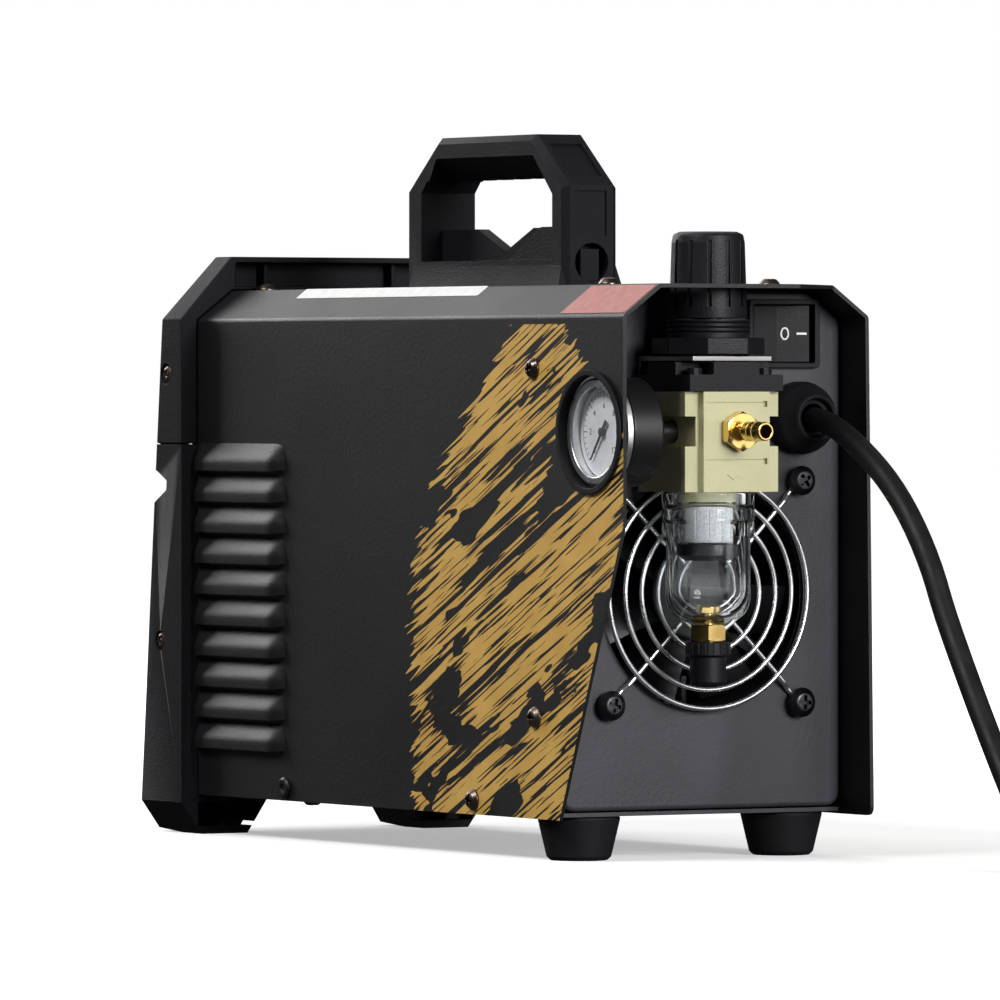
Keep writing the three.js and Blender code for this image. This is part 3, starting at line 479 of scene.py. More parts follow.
def rubber(name, colour, rough):
    """Soft black rubber: dull, with dust and faint mould lines."""
    finish = Finish(name, "rubber")
    dust = finish.between(finish.noise(55, 5, 0.65), 0, 1)
    finish.use(
        Base_Color=finish.tint(dust, colour, [c * 1.5 + 0.002 for c in colour]),
        Roughness=finish.between(finish.noise(160, 3), rough - 0.08, rough + 0.08),
        Specular_IOR_Level=0.22,
    )
    finish.bump(finish.noise(1300, 3), 0.00006)
    return finish.material


def metal(name, slot, colour, rough, lines=(900, 900, 900), spread=0.06, depth=0.00001):
    """Bare or plated metal, with tool marks that are fine along the directions with large numbers."""
    finish = Finish(name, slot)
    marks = finish.noise(1, 3, 0.6, finish.stretched(lines))
    smears = finish.noise(60, 3, 0.6)
    finish.use(
        Base_Color=toned(finish, colour, spread, 90),
        Metallic=1.0,
        Roughness=finish.value("ADD", finish.between(smears, rough * 0.75, rough * 1.3),
                               finish.between(marks, -0.03, 0.04)),
    )
    finish.bump(marks, depth)
    return finish.material


def printed(name, colour, rough=0.45):
    """Ink or a label: flat colour with slightly uneven cover."""
    finish = Finish(name, "white")
    finish.use(
        Base_Color=toned(finish, colour, 0.07, 260),
        Roughness=finish.between(finish.noise(300, 3), rough - 0.06, rough + 0.08),
    )
    finish.bump(finish.noise(900, 2), 0.00001)
    return finish.material


def clear_plastic(name):
    """A clear moulded wall with faint drag marks and a breath of haze."""
    finish = Finish(name, "clear")
    haze = finish.noise(1, 4, 0.6, finish.stretched((140, 140, 18)))
    finish.use(
        Base_Color=toned(finish, (0.93, 0.95, 0.96), 0.02, 40),
        Roughness=finish.between(haze, 0.01, 0.07),
        Transmission_Weight=1.0,
        IOR=1.49,
    )
    finish.bump(haze, 0.00004)
    return finish.material


def lens_plastic(name):
    """A thin flat window: it shows what is behind it and throws back a little light at its face."""
    finish = Finish(name, "clear")
    tree = finish.tree
    smear = finish.noise(70, 4, 0.6)
    finish.use(
        Base_Color=toned(finish, (0.8, 0.82, 0.85), 0.03, 60),
        Roughness=finish.between(smear, 0.03, 0.12),
        IOR=1.45,
    )
    through = finish.node("BsdfTransparent")
    gloss = finish.between(smear, 0.02, 0.06)
    both = finish.node("MixShader", {0: gloss, 1: through.outputs[0], 2: finish.shader.outputs[0]})
    tree.links.new(both.outputs[0], tree.nodes["Material Output"].inputs["Surface"])
    return finish.material


def painted_cover():
    """The cover's near-black powder coat with a hatched field of gold ink at the back of each side."""
    finish = powder_coat("cover_paint", "paint", (0.0064, 0.0064, 0.0074), 0.46)
    tree = finish.tree
    split = finish.node("SeparateXYZ", {"Vector": finish.where})
    x, y, z = split.outputs
    value = finish.value

    # Strokes of the hatch climb towards the back; noise is long along them and short across them.
    lean = math.radians(26)
    along = value("ADD", value("MULTIPLY", y, math.cos(lean)), value("MULTIPLY", z, math.sin(lean)))
    across = value("SUBTRACT", value("MULTIPLY", z, math.cos(lean)), value("MULTIPLY", y, math.sin(lean)))

    def strokes(length, width, detail=2.0, shift=0.0):
        where = finish.node("CombineXYZ", {
            "X": value("MULTIPLY", along, 1 / length), "Y": value("MULTIPLY", across, 1 / width), "Z": shift,
        })
        return finish.noise(1.0, detail, 0.5, where.outputs[0])

    # The field's front edge leans back above the middle of the side; its top corner is cut off.
    edge_y, bow_height, top_height = 0.0155, 0.095, 0.1825
    corner_y, corner_height, corner_slope = 0.1250, 0.1830, 0.98
    tips = value("MULTIPLY", value("SUBTRACT", strokes(0.05, 0.0022, 1.0), 0.5), 0.030)
    height = value("SUBTRACT", z, -FLOOR * MM)
    bow = value("POWER", value("MAXIMUM", value("SUBTRACT", height, bow_height), 0.0), 1.35)
    front = value("ADD", value("MULTIPLY", bow, 2.05), edge_y)
    inside_front = value("SUBTRACT", value("ADD", y, tips), front)
    drop = value("MULTIPLY", value("SUBTRACT", y, corner_y), corner_slope)
    corner = value("SUBTRACT", corner_height, drop)
    inside_corner = value("SUBTRACT", value("SUBTRACT", corner, height), value("MULTIPLY", tips, 0.7))
    inside_top = value("SUBTRACT", top_height, height)
    field = value("MINIMUM", value("MINIMUM", inside_front, inside_corner), inside_top)

    scratches = value("MAXIMUM", value("SUBTRACT", strokes(0.040, 0.0013, 2.0, 3.1), 0.56),
                      value("SUBTRACT", strokes(0.08, 0.0035, 2.0, 7.7), 0.58))
    patches = value("SUBTRACT", strokes(0.055, 0.020, 3.0, 11.3), 0.585)
    bare = value("MAXIMUM", scratches, patches)
    ink = value("MINIMUM", value("MULTIPLY", field, 4000, clamp=True),
                value("SUBTRACT", 1.0, value("MULTIPLY", bare, 300, clamp=True)))
    on_side = value("GREATER_THAN", value("ABSOLUTE", x), (COVER_HALF - 0.05) * MM)
    ink = value("MULTIPLY", ink, on_side)

    plain = finish.shader.inputs["Base Color"].links[0].from_socket
    gold = finish.tint(finish.between(finish.noise(70, 4), 0, 1), (0.72, 0.42, 0.09), (0.86, 0.53, 0.13))
    tree.links.new(finish.tint(ink, plain, gold), finish.shader.inputs["Base Color"])
    return finish.material


def sintered(name):
    """The filter: white beads fused together."""
    finish = Finish(name, "white")
    beads = finish.node("TexVoronoi", {"Vector": finish.where, "Scale": 1500.0}).outputs["Distance"]
    finish.use(
        Base_Color=finish.tint(finish.between(beads, 0, 1), (0.86, 0.87, 0.88), (0.66, 0.67, 0.69)),
        Roughness=finish.between(finish.noise(300, 3), 0.65, 0.85),
    )
    finish.bump(beads, 0.00015)
    return finish.material


def circuit_board():
    """Green solder mask with tracks showing through it."""
    finish = Finish("solder_mask", "circuit_board")
    tracks = finish.node("TexBrick", {
        "Vector": finish.where, "Scale": 120.0, "Mortar Size": 0.06, "Brick Width": 0.9, "Row Height": 0.4,
    }).outputs["Fac"]
    finish.use(
        Base_Color=finish.tint(tracks, (0.015, 0.10, 0.035), (0.04, 0.20, 0.08)),
        Roughness=finish.between(finish.noise(80, 3), 0.3, 0.5),
    )
    finish.bump(tracks, 0.00005)
    return finish.material


COVER_PAINT = painted_cover()
PANEL_PAINT = powder_coat("panel_paint", "panel_paint", (0.042, 0.042, 0.050), 0.42).material
SHELL = moulded("shell_plastic", "shell", (0.0085, 0.0085, 0.0104), 0.58, sheen=0.12)
BLACK = moulded("black_plastic", "black_plastic", (0.0085, 0.0085, 0.0095), 0.34, 2600, 0.00003)
SATIN_BLACK = moulded("satin_black", "black_plastic", (0.0085, 0.0085, 0.0105), 0.46, 2100, 0.00006, 0.22)
RUBBER = rubber("rubber", (0.0060, 0.0060, 0.0072), 0.62)
CORD_RUBBER = rubber("cord_rubber", (0.0060, 0.0060, 0.0066), 0.5)
ZINC = metal("zinc_plate", "zinc", (0.34, 0.33, 0.32), 0.36, (300, 40, 300), 0.1)
CHROME = metal("bright_wire", "chrome", (0.93, 0.93, 0.94), 0.30, (500, 500, 500), 0.03, 0.000002)
STEEL = metal("turned_steel", "chrome", (0.42, 0.42, 0.44), 0.33, (100, 100, 2500))
DARK_SCREW = metal("dark_chromate", "black_plastic", (0.20, 0.155, 0.13), 0.30, (700, 700, 700), 0.2)
BLACK_SCREW = metal("black_oxide", "black_plastic", (0.055, 0.055, 0.06), 0.36, (700, 700, 700), 0.2)
BRASS = metal("turned_brass", "brass", (0.83, 0.58, 0.20), 0.17, (2600, 120, 2600), 0.08)
BRASS_UPRIGHT = metal("turned_brass_upright", "brass", (0.83, 0.58, 0.20), 0.17, (120, 120, 2600), 0.08)
CHAMPAGNE = powder_coat("champagne_paint", "champagne", (0.52, 0.50, 0.30), 0.30).material
WHITE = printed("white_ink", (0.82, 0.82, 0.82))
BLACK_INK = printed("black_ink", (0.02, 0.02, 0.022))
DIAL_WHITE = printed("dial_white", (0.90, 0.92, 0.95), 0.4)
LABEL_WHITE = printed("label_white", (0.78, 0.78, 0.77), 0.38)
LABEL_RED = printed("label_red", (0.42, 0.11, 0.085), 0.42)
SINTERED = sintered("sintered_filter")
CLEAR = clear_plastic("clear_bowl")
LENS = lens_plastic("clear_lens")
BOARD = circuit_board()
WINDING = metal("enamelled_winding", "winding", (0.50, 0.17, 0.06), 0.30, (60, 3000, 60), 0.15)
BLUE = moulded("blue_sleeve", "blue_plastic", (0.02, 0.07, 0.30), 0.28, 2400, 0.00002)
ALUMINIUM = metal("drawn_aluminium", "aluminium", (0.62, 0.63, 0.65), 0.30, (1800, 40, 1800))
DISPLAY_RED = printed("display_red", (0.60, 0.02, 0.015), 0.3)


# ---------------------------------------------------------------- power cord

CORD_RADIUS = 4.25
COIL_X, COIL_Y, COIL_MIDDLE = -107, 200, 48
ON_FLOOR = FLOOR + CORD_RADIUS + 0.3
COIL_LOW = FLOOR + 1.4 + CORD_RADIUS
COIL_HIGH = COIL_LOW + 2 * CORD_RADIUS
CORD_RUN = [
    (-41, 12, 147.6), (-41, 20, 146.2), (-41, 32.2, 142.3), (-41, 50.7, 132.9), (-41, 67.2, 121.6),
    (-41, 81.4, 107.8), (-41, 92.8, 92.7), (-41, 102.4, 75.7), (-41, 119, 50.5), (-41, 136, 26.5),
    (-41, 150, 8.5), (-41, 164, -3.4), (-41, 179, -9.6), (-41, 191, ON_FLOOR),
]
ON_TOP = COIL_HIGH + 2 * CORD_RADIUS + 0.3
TOP_LEAVE, TOP_BEND, TOP_TURN = 17, 40, 75
PLUG_RADIUS, PLUG_HEIGHT, PLUG_ENTRY, PLUG_RELIEF = 18.5, 22, 9, 26.5
PLUG_BOTTOM = COIL_HIGH + CORD_RADIUS + 0.3


def curve_through(points, steps):
    """A smooth line through points, Catmull-Rom with `steps` pieces between each pair."""
    points = [Vector(p) for p in points]
    out = []
    for i in range(len(points) - 1):
        a, b, c, d = points[max(i - 1, 0)], points[i], points[i + 1], points[min(i + 2, len(points) - 1)]
        for s in range(steps):
            t = s / steps
            out.append(0.5 * (2 * b + (c - a) * t + (2 * a - 5 * b + 4 * c - d) * t ** 2
                              + (3 * b - a - 3 * c + d) * t ** 3))
    return out + [points[-1]]


def coil_path():
    """Three turns on the floor winding inwards, then most of three on top of them winding out again."""
    pitch = 2 * CORD_RADIUS
    enter, settle, enter_radius, step = -7.8, 60.0, 66.6, 7.5
    climb_from, climb = 5 * 360 + 317, 60.0
    rings = [enter_radius] + [COIL_MIDDLE + pitch * k for k in (1, 0, -1, -1, 0, 1)]
    points = []
    angle = enter + step
    while angle < climb_from + climb:
        turn = int((angle - enter) // 360)
        blend = smoothstep((angle - enter - 360 * turn) / (settle - enter))
        radius = rings[turn] + (rings[turn + 1] - rings[turn]) * blend if turn < 6 else rings[6]
        height = COIL_LOW
        if turn == 0:
            height = ON_FLOOR + (COIL_LOW - ON_FLOOR) * blend
        if turn >= 3:
            height = COIL_LOW + pitch * (blend if turn == 3 else 1.0)
        if angle > climb_from:
            # The last turn rolls over its neighbour, up to the top of the coil.
            roll = math.pi / 2 * smoothstep((angle - climb_from) / climb)
            radius = COIL_MIDDLE + pitch * math.cos(roll)
            height = COIL_HIGH + (ON_TOP - COIL_HIGH) * math.sin(roll)
        a = math.radians(angle)
        points.append((COIL_X + radius * math.cos(a), COIL_Y + radius * math.sin(a), height))
        angle += step
    return points


def top_path(distances):
    """The last bend, which crosses the coil and runs straight into the plug."""
    leave, heading = math.radians(TOP_LEAVE), math.radians(TOP_LEAVE + TOP_TURN)
    centre_x = COIL_X + (COIL_MIDDLE - TOP_BEND) * math.cos(leave)
    centre_y = COIL_Y + (COIL_MIDDLE - TOP_BEND) * math.sin(leave)
    entry = PLUG_BOTTOM + PLUG_ENTRY
    points = []
    for i in range(13):
        angle = leave + (heading - leave) * i / 12
        height = ON_TOP + (entry - ON_TOP) * smoothstep(i / 12)
        points.append((centre_x + TOP_BEND * math.cos(angle), centre_y + TOP_BEND * math.sin(angle), height))
    end = points[-1]
    points += [(end[0] - d * math.sin(heading), end[1] + d * math.cos(heading), entry) for d in distances]
    return points


def make_cord():
    line = curve_through(CORD_RUN, 3)
    points = [MACHINE @ Vector(p) for p in [*line, *coil_path(), *top_path([3, 8])]]
    curve = bpy.data.curves.new("power_cord_flex", "CURVE")
    curve.dimensions = "3D"
    curve.bevel_depth = CORD_RADIUS * MM
    curve.bevel_resolution = 6
    curve.use_fill_caps = True
    spline = curve.splines.new("POLY")
    spline.points.add(len(points) - 1)
    for knot, point in zip(spline.points, points):
        knot.co = (*point, 1)
    spline.use_smooth = True
    cord = bpy.data.objects.new("power_cord_flex", curve)
    bpy.context.scene.collection.objects.link(cord)
    curve.materials.append(CORD_RUBBER)
    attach(cord, "chassis")
    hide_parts("power_cord", "cord_coil", "cord_tail")
    return cord, points[0]


def make_tie():
    """A flat plastic tie round the coil, with its head on the outside."""
    near, far = COIL_MIDDLE - 3 * CORD_RADIUS - 0.9, COIL_MIDDLE + 3 * CORD_RADIUS + 0.3
    low, high = COIL_LOW - CORD_RADIUS - 0.3, COIL_HIGH + CORD_RADIUS + 0.3
    thick = 1.1
    outer = rounded(rectangle(-far - thick, -near + thick, low - thick, high + thick), 2.4, 5)
    inner = rounded(rectangle(-far, -near, low, high), 1.4, 5)
    strap = carve(prism("Y", outer, -2.5, 2.5), prism("Y", inner, -8, 8))
    return moved(soften(strap, 0.3), Matrix.Translation((COIL_X, COIL_Y, 0)))


PLUG_PLACE = top_path([3 + PLUG_RELIEF + PLUG_RADIUS])[-1]
PLUG = (
    MACHINE @ Matrix.Translation((*PLUG_PLACE[:2], PLUG_BOTTOM))
    @ Matrix.Rotation(math.radians(TOP_LEAVE + TOP_TURN - 90), 4, "Z")
)


def make_plug():
    """A flat round mains plug on its back, with a ribbed relief where the cord enters."""
    radius, height = PLUG_RADIUS, PLUG_HEIGHT
    outside = [(0, 0, 0), (radius - 1.2, 0), (radius, 3), (radius, height), (0, height, 0)]
    body = turned("Z", outside, 1.2, 4, 72)
    ribs = [(0, 8), (7.5, 8)]
    for i in range(4):
        start = radius + 2 + 5.5 * i
        size = 7.3 - 0.55 * i
        ribs += [(size, start), (size, start + 3.4), (size - 1.1, start + 3.6), (size - 1.1, start + 5.2)]
    ribs += [(4.9, radius + PLUG_RELIEF), (0, radius + PLUG_RELIEF)]
    body = fuse(body, turned("X", ribs, 0.3, 2, 40, (0, PLUG_ENTRY)))
    groove = rectangle(6.6, radius - 1.6, height - 9, height + 1)
    moat = lathe("Z", groove + groove[:1], 72)
    bridge = block((-4, 4), (-20, 20), (0, 40))
    body = carve(body, carve(moat, bridge))
    body = carve(body, *[lathe("Z", disc(2.55, height - 12, height + 1), 24, (0, y)) for y in (-9.5, 9.5)])
    return soften(body, 0.35)


def make_pin(y):
    foot, tip = PLUG_HEIGHT - 11.5, PLUG_HEIGHT + 7.5
    profile = [(0, foot, 0), (2.4, foot), (2.4, tip - 1.8), (1.3, tip), (0, tip, 0)]
    return turned("Z", profile, 0.6, 4, 32, (0, y))


cord, cord_exit = make_cord()
tie = stand_in("cord_tie", make_tie(), BLACK)
plug = stand_in("power_plug", make_plug(), RUBBER, PLUG)
pins = [stand_in(f"plug_pin_{i}", make_pin(y), CHROME, PLUG) for i, y in ((1, 9.5), (2, -9.5))]
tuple(cord_exit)


# ---------------------------------------------------------------- cover

def cover_outline(inset, bottom):
    """The right half of the cover's outline seen from the back, drawn inside its outer face."""
    flat = inset * math.tan(math.pi / 8)
    return [(COVER_HALF - inset, bottom), (COVER_HALF - inset, COVER_BEND - flat),
            (COVER_TOP_HALF - flat, COVER_TOP - inset)]


LOUVRES = [18.7 + 12 * i for i in range(10)]
LOUVRE_FRONT, LOUVRE_END = -275.4, -206
RIVET_Y, RIVET_Z = -206, 5


def make_cover():
    outer = rounded(mirrored(cover_outline(0, 0)), 2.4, 6, closed=False)
    inner = rounded(mirrored(cover_outline(COVER_SHEET, 0)), 0.9, 6, closed=False)
    shell = prism("Y", outer + inner[::-1], COVER_FRONT, COVER_REAR)
    near = prism("X", [(0, -1), (COVER_REAR, 108.8), (60, 108.8), (60, -1)], COVER_HALF - 5, COVER_HALF + 5)
    behind_flange = rounded([(-20, -1, 0), (12.8, -1, 0), (12.8, 0, 0), (20.8, 0, 8), (17, COVER_BEND, 0),
                             (60, COVER_BEND, 0), (60, -6, 0), (-20, -6, 0)], 0, 8)
    far = prism("X", behind_flange, -COVER_HALF - 5, -COVER_HALF + 5)
    corner = prism("Z", [(-14, 60), (-14, COVER_REAR), (-COVER_TOP_HALF, 17), (-COVER_HALF - 1, 17),
                         (-COVER_HALF - 1, 60)], COVER_BEND - 0.01, COVER_TOP + 1)
    knob_hole = lathe("Z", disc(16.5, 190, 202), 96, (REGULATOR_X, REGULATOR_Y))
    gauge_hole = lathe("X", disc(21.6, 55, 65), 96, (GAUGE_Y, GAUGE_Z))
    shell = carve(shell, near, far, corner, knob_hole, gauge_hole)
    slots = []
    for side in (1, -1):
        through = sorted((side * 58, side * 66))
        for z in LOUVRES:
            slots.append(block(through, (LOUVRE_FRONT + 4, LOUVRE_END - 5), (z + 0.2, z + 7.5)))
        slots.append(lathe("X", disc(2.1, *through), 24, (RIVET_Y, RIVET_Z)))
    return soften(carve(shell, *slots), 0.32, 2, 40)


def louvre(z, side):
    """A hood pressed out of the side sheet: its top slopes, its ends are rounded, its underside is open."""
    profile = [(-0.25, 11.2), (0.05, 10.6), (0.55, 9.7), (1.35, 8.3), (2.2, 6.8), (2.95, 5.4), (3.45, 4.2),
               (3.6, 3.0), (3.6, 1.5), (3.55, 0.0)]
    length = LOUVRE_END - LOUVRE_FRONT
    rows = []
    columns = 30
    for j in range(columns + 1):
        along = length * (0.5 - 0.5 * math.cos(math.pi * j / columns))
        swell = min(1.0, (along + 1.2) / 5.0, (length - along) / 8.5)
        swell = math.sin(math.pi / 2 * max(0.0, swell)) ** 0.8
        row = []
        for out, height in profile:
            x = COVER_HALF + (out if out <= 0 else out * swell) - 0.25 * (1 - swell)
            row.append((side * x, LOUVRE_FRONT + along, z + height - 0.6 * (1 - swell) * (height - 5) / 6))
        rows.append(row)
    return surface(rows, 1.0 * side)


stand_in("cover", make_cover(), COVER_PAINT, sharp=30)
for side, word in ((1, "left"), (-1, "right")):
    hoods = gather(*[louvre(z, side) for z in LOUVRES])
    show(f"louvres_{word}", hoods, COVER_PAINT, sharp=50)


def make_gauge_trim():
    """A rubber ring clipped over the edge of the gauge's hole."""
    inner = COVER_HALF - COVER_SHEET - 0.3
    outer = COVER_HALF + 0.3
    points = [(20.6, inner - 1), (22.9, inner - 1), (22.9, inner), (21.3, inner),
              (21.3, outer), (22.9, outer), (22.9, outer + 1), (20.6, outer + 1)]
    return ring("X", points, 0.35, sides=96)


stand_in("gauge_trim", make_gauge_trim(), RUBBER, MACHINE @ Matrix.Translation((0, GAUGE_Y, GAUGE_Z)))


def label(name, material, y0, y1, t0, t1):
    """A thin plate on the chamfer of the side X > 0, t running from its lower bend to its upper one."""
    run = Vector((COVER_TOP_HALF - COVER_HALF, COVER_TOP - COVER_BEND))
    out = Vector((run.y, -run.x)).normalized()
    foot = Vector((COVER_HALF, COVER_BEND))
    corners = rounded(rectangle(y0, y1, t0 * run.length, t1 * run.length), 0.8, 3)
    rings = []
    for lift in (-0.05, 0.14):
        points = [(foot + run.normalized() * s + out * lift, y) for y, s in corners]
        rings.append([(point.x, y, point.y) for point, y in points])
    show(name, loft(*rings), material)


label("label_strip", LABEL_WHITE, -217, -78, 0.69, 1.0)
label("label_plate", LABEL_RED, -1, 44.6, 0.07, 0.95)


# ---------------------------------------------------------------- screws and rivets

def cross(arm, width, low, high):
    """Two bars along Z that cut a cross recess."""
    return [block((-x, x), (-y, y), (low, high)) for x, y in ((arm, width), (width, arm))]


def cross_screw(radius, height):
    """A pan head with a cross recess, standing on Z = 0."""
    dome = [(0, -1, 0), (radius, -1, 0), (radius, 0.25 * height, 0.2 * radius),
            (0.62 * radius, height, 0.5 * radius), (0, height, 0)]
    head = turned("Z", dome, 0.2, 5, 40)
    bars = cross(0.56 * radius, 0.15 * radius, 0.35 * height, height + 1)
    return soften(carve(head, *bars), 0.06 * radius, 2, 45)


def facing(normal, turn=0.0):
    return Vector(normal).to_track_quat("Z", "Y").to_matrix().to_4x4() @ Matrix.Rotation(turn, 4, "Z")


small_head = cross_screw(4.0, 2.6)
bezel_head = cross_screw(3.4, 1.1)
side_screws = [(COVER_HALF, -18, 166), (COVER_HALF, -16.5, 37.5), (COVER_HALF, -62, 5.5)]
SEAT = 68.3
bezel_screws = [(SEAT, -288.8, 164.4), (SEAT, -293.6, 60)]
top_screws = [(34.9, -9.3, COVER_TOP), (34.5, -270, COVER_TOP)]
number = 0
for side in (1, -1):
    for head, places, normal in (
        (small_head, side_screws, (side, 0, 0)), (bezel_head, bezel_screws, (side, 0, 0)),
        (small_head, top_screws, (0, 0, 1)),
    ):
        for x, y, z in places:
            number += 1
            at = Matrix.Translation((side * x, y, z)) @ facing(normal, 0.5 + 1.3 * number)
            show(f"case_screw_{number}", copied(head, at), DARK_SCREW)
for side in (1, -1):
    profile = [(0, -3, 0), (2.0, -3, 0), (2.0, 0, 0), (4.1, 0), (4.1, 0.9),
               (3.2, 1.6), (1.7, 1.5), (1.4, 0.7), (0, 0.7, 0)]
    rivet = turned("Z", profile, 0.3, 3, 36)
    at = Matrix.Translation((side * (COVER_HALF + 0.02), RIVET_Y, RIVET_Z)) @ facing((side, 0, 0))
    show("push_rivet_left" if side > 0 else "push_rivet_right", moved(rivet, at), BLACK)
foot_screw = copied(small_head, Matrix.Translation((50, -206, 0.6)) @ facing((0, 0, -1)))
show("base_screw", foot_screw, BLACK_SCREW)
for spare in (small_head, bezel_head):
    bpy.data.objects.remove(spare)


# ---------------------------------------------------------------- rear panel and base

def fan_corners():
    return [(x, FAN_Z + z) for x in (FAN_SCREWS, -FAN_SCREWS) for z in (FAN_SCREWS, -FAN_SCREWS)]


def make_rear_panel():
    """A pressed tray with a rolled edge and its openings."""
    def tray(inset, bottom, front, back):
        outline = mirrored(cover_outline(COVER_SHEET + 0.3 + inset, bottom))
        return prism("Y", rounded(outline, 6, 6), front, back)

    body = tray(0, 3, -24, 0)
    solid = bmesh.new()
    solid.from_mesh(body.data)
    rim = [e for e in solid.edges if all(abs(v.co.y) < 1e-4 for v in e.verts)]
    bmesh.ops.bevel(solid, geom=rim, offset=1.8, segments=5, profile=0.5, affect="EDGES")
    solid.to_mesh(body.data)
    solid.free()
    body = carve(body, tray(COVER_SHEET, 3 + COVER_SHEET, -30, -COVER_SHEET))
    tools = [
        prism("Y", rectangle(SWITCH_X - 14.5, SWITCH_X + 14.5, SWITCH_Z - 12, SWITCH_Z + 12), -5, 5),
        lathe("Y", disc(44, -5, 5), 128, (0, FAN_Z)),
        lathe("Y", disc(8.8, -5, 5), 48, (GLAND_X, GLAND_Z)),
        lathe("Y", disc(6, -5, 5), 48, (REGULATOR_X, PORT_Z)),
    ]
    tools += [lathe("Y", disc(2.4, -5, 5), 24, corner) for corner in fan_corners()]
    return soften(carve(body, *tools), 0.35, 3, 45)


def make_foot(side):
    centre = (side * 44, -15.7)
    profile = [(0, FLOOR, 0), (10.5, FLOOR), (12, FLOOR + 1.4), (15.5, 0.7), (0, 0.7, 0)]
    recess = [(0, FLOOR - 2, 0), (4.2, FLOOR - 2, 0), (4, FLOOR + 4), (0, FLOOR + 4, 0)]
    return carve(turned("Z", profile, 0.9, 4, 64, centre), turned("Z", recess, 0.4, 3, 32, centre))


stand_in("rear_panel", make_rear_panel(), PANEL_PAINT, sharp=35)
stand_in("rear_foot_left", make_foot(1), RUBBER)
stand_in("rear_foot_right", make_foot(-1), RUBBER)
repaint(PANEL_PAINT, "base_pan")


# ---------------------------------------------------------------- bezel, panel and handle

def make_bezel(node, screw_height):
    """The moulding, with a sunk seat for the screw on each side."""
    y = next(place[1] for place in bezel_screws if place[2] == screw_height)
    seats = [lathe("X", disc(3.8, *sorted((side * SEAT, side * 72))), 36, (y, screw_height))
             for side in (1, -1)]
    return soften(carve(from_cad(node), *seats), 0.7)


def make_seam_tongue():
    """The lip of the lower moulding that closes the seam from inside."""
    return gather(*[block(sorted((side * 63.2, side * 68)), (-296, -281), (136, 138)) for side in (1, -1)])


stand_in("bezel_lower", make_bezel("bezel_lower", 60), SHELL, sharp=40)
stand_in("bezel_upper", make_bezel("bezel_upper", 164.4), SHELL, sharp=40)
show("seam_tongue", make_seam_tongue(), SHELL)
stand_in("handle", soften(from_cad("handle"), 0.8), SHELL, sharp=40)
stand_in("front_panel", soften(from_cad("front_panel"), 0.4), PANEL_PAINT, sharp=40)
stand_in("display_window", soften(from_cad("display_window"), 0.4), BLACK)


KNOB_Z, KNOB_RADIUS, KNOB_LENGTH = 8, 15, 14


def make_current_knob():
    face, radius = -KNOB_LENGTH, KNOB_RADIUS
    profile = [(0, -0.6, 0), (radius, -0.6), (radius, -3),
               (radius - 2, -4.5), (radius - 3, face), (0, face, 0)]
    knob = turned("Y", profile, 0.9, 4, 96)
    groove = disc(0.8, face - 1, -5.4)
    grooves = around(24, "Y", lambda: lathe("Y", groove, 16, (0, radius - 2.1)), 0.5)
    return moved(soften(carve(knob, *grooves), 0.15, 2, 40), Matrix.Translation((0, 0, KNOB_Z)))


stand_in("current_knob", make_current_knob(), SATIN_BLACK, CONTROLS)
pointer = rounded(rectangle(-0.7, 0.7, KNOB_Z + 3, KNOB_Z + 10.5), 0.4)
pointer = prism("Y", pointer, -KNOB_LENGTH - 0.6, -KNOB_LENGTH + 0.3)
show("current_knob_pointer", soften(pointer, 0.1), WHITE, "current_knob", CONTROLS)
for node, side in (("mode_button", -1), ("gas_test_button", 1)):
    cap = [(0, 8, 0), (6.5, 8), (6.5, 5.5), (5, 5.5), (5, -2.6, 1.0), (3.6, -2.2, 1.4), (0, -1.9, 0)]
    stand_in(node, turned("Y", cap, 0.3, centre=(side * 30, KNOB_Z)), SATIN_BLACK, CONTROLS)
SOCKET_X, SOCKET_Z = 27, -50
for node, side in (("torch_socket", -1), ("earth_socket", 1)):
    shroud = [(9.2, -7), (14, -7), (16, -5), (16, -0.3), (12, -0.3), (12, 24), (9.2, 24)]
    stand_in(node, ring("Y", shroud, 0.7, centre=(side * SOCKET_X, SOCKET_Z)), BLACK, CONTROLS)
for node, side, inner, front in (("torch_contact", -1, 4.5, -4), ("earth_contact", 1, 6.5, 0)):
    bush = [(0, 21, 0), (8.9, 21), (8.9, front), (inner, front), (inner, 17), (0, 17, 0)]
    stand_in(node, turned("Y", bush, 0.5, 3, centre=(side * SOCKET_X, SOCKET_Z)), BRASS, CONTROLS)


def make_scale():
    """Tick marks printed round the current knob."""
    ticks = []
    for i in range(15):
        long = i % 2 == 0
        tick = prism("Y", rectangle(-0.25, 0.25, 17.5, 20.5 if long else 19.3), -0.06, 0.03)
        angle = math.radians(-140 + 20 * i)
        ticks.append(moved(tick, Matrix.Translation((0, 0, KNOB_Z)) @ Matrix.Rotation(angle, 4, "Y")))
    return gather(*ticks)


def make_digits():
    """Two seven-segment figures behind the display window."""
    lit = {"3": "abgcd", "0": "abcdef"}
    bars = {"a": (0, 5, 0), "g": (0, 0, 0), "d": (0, -5, 0), "f": (-2.5, 2.5, 1), "b": (2.5, 2.5, 1),
            "e": (-2.5, -2.5, 1), "c": (2.5, -2.5, 1)}
    parts = []
    for place, figure in ((-5, "3"), (5, "0")):
        for key in lit[figure]:
            x, z, upright = bars[key]
            wide, high = (0.45, 2.1) if upright else (2.1, 0.45)
            outline = rectangle(place + x - wide, place + x + wide, 52 + z - high, 52 + z + high)
            parts.append(prism("Y", rounded(outline, 0.4), -0.66, -0.5))
    return gather(*parts)


show("current_scale", make_scale(), WHITE, at=CONTROLS)
show("display_figures", make_digits(), DISPLAY_RED, at=CONTROLS)


# ---------------------------------------------------------------- fan

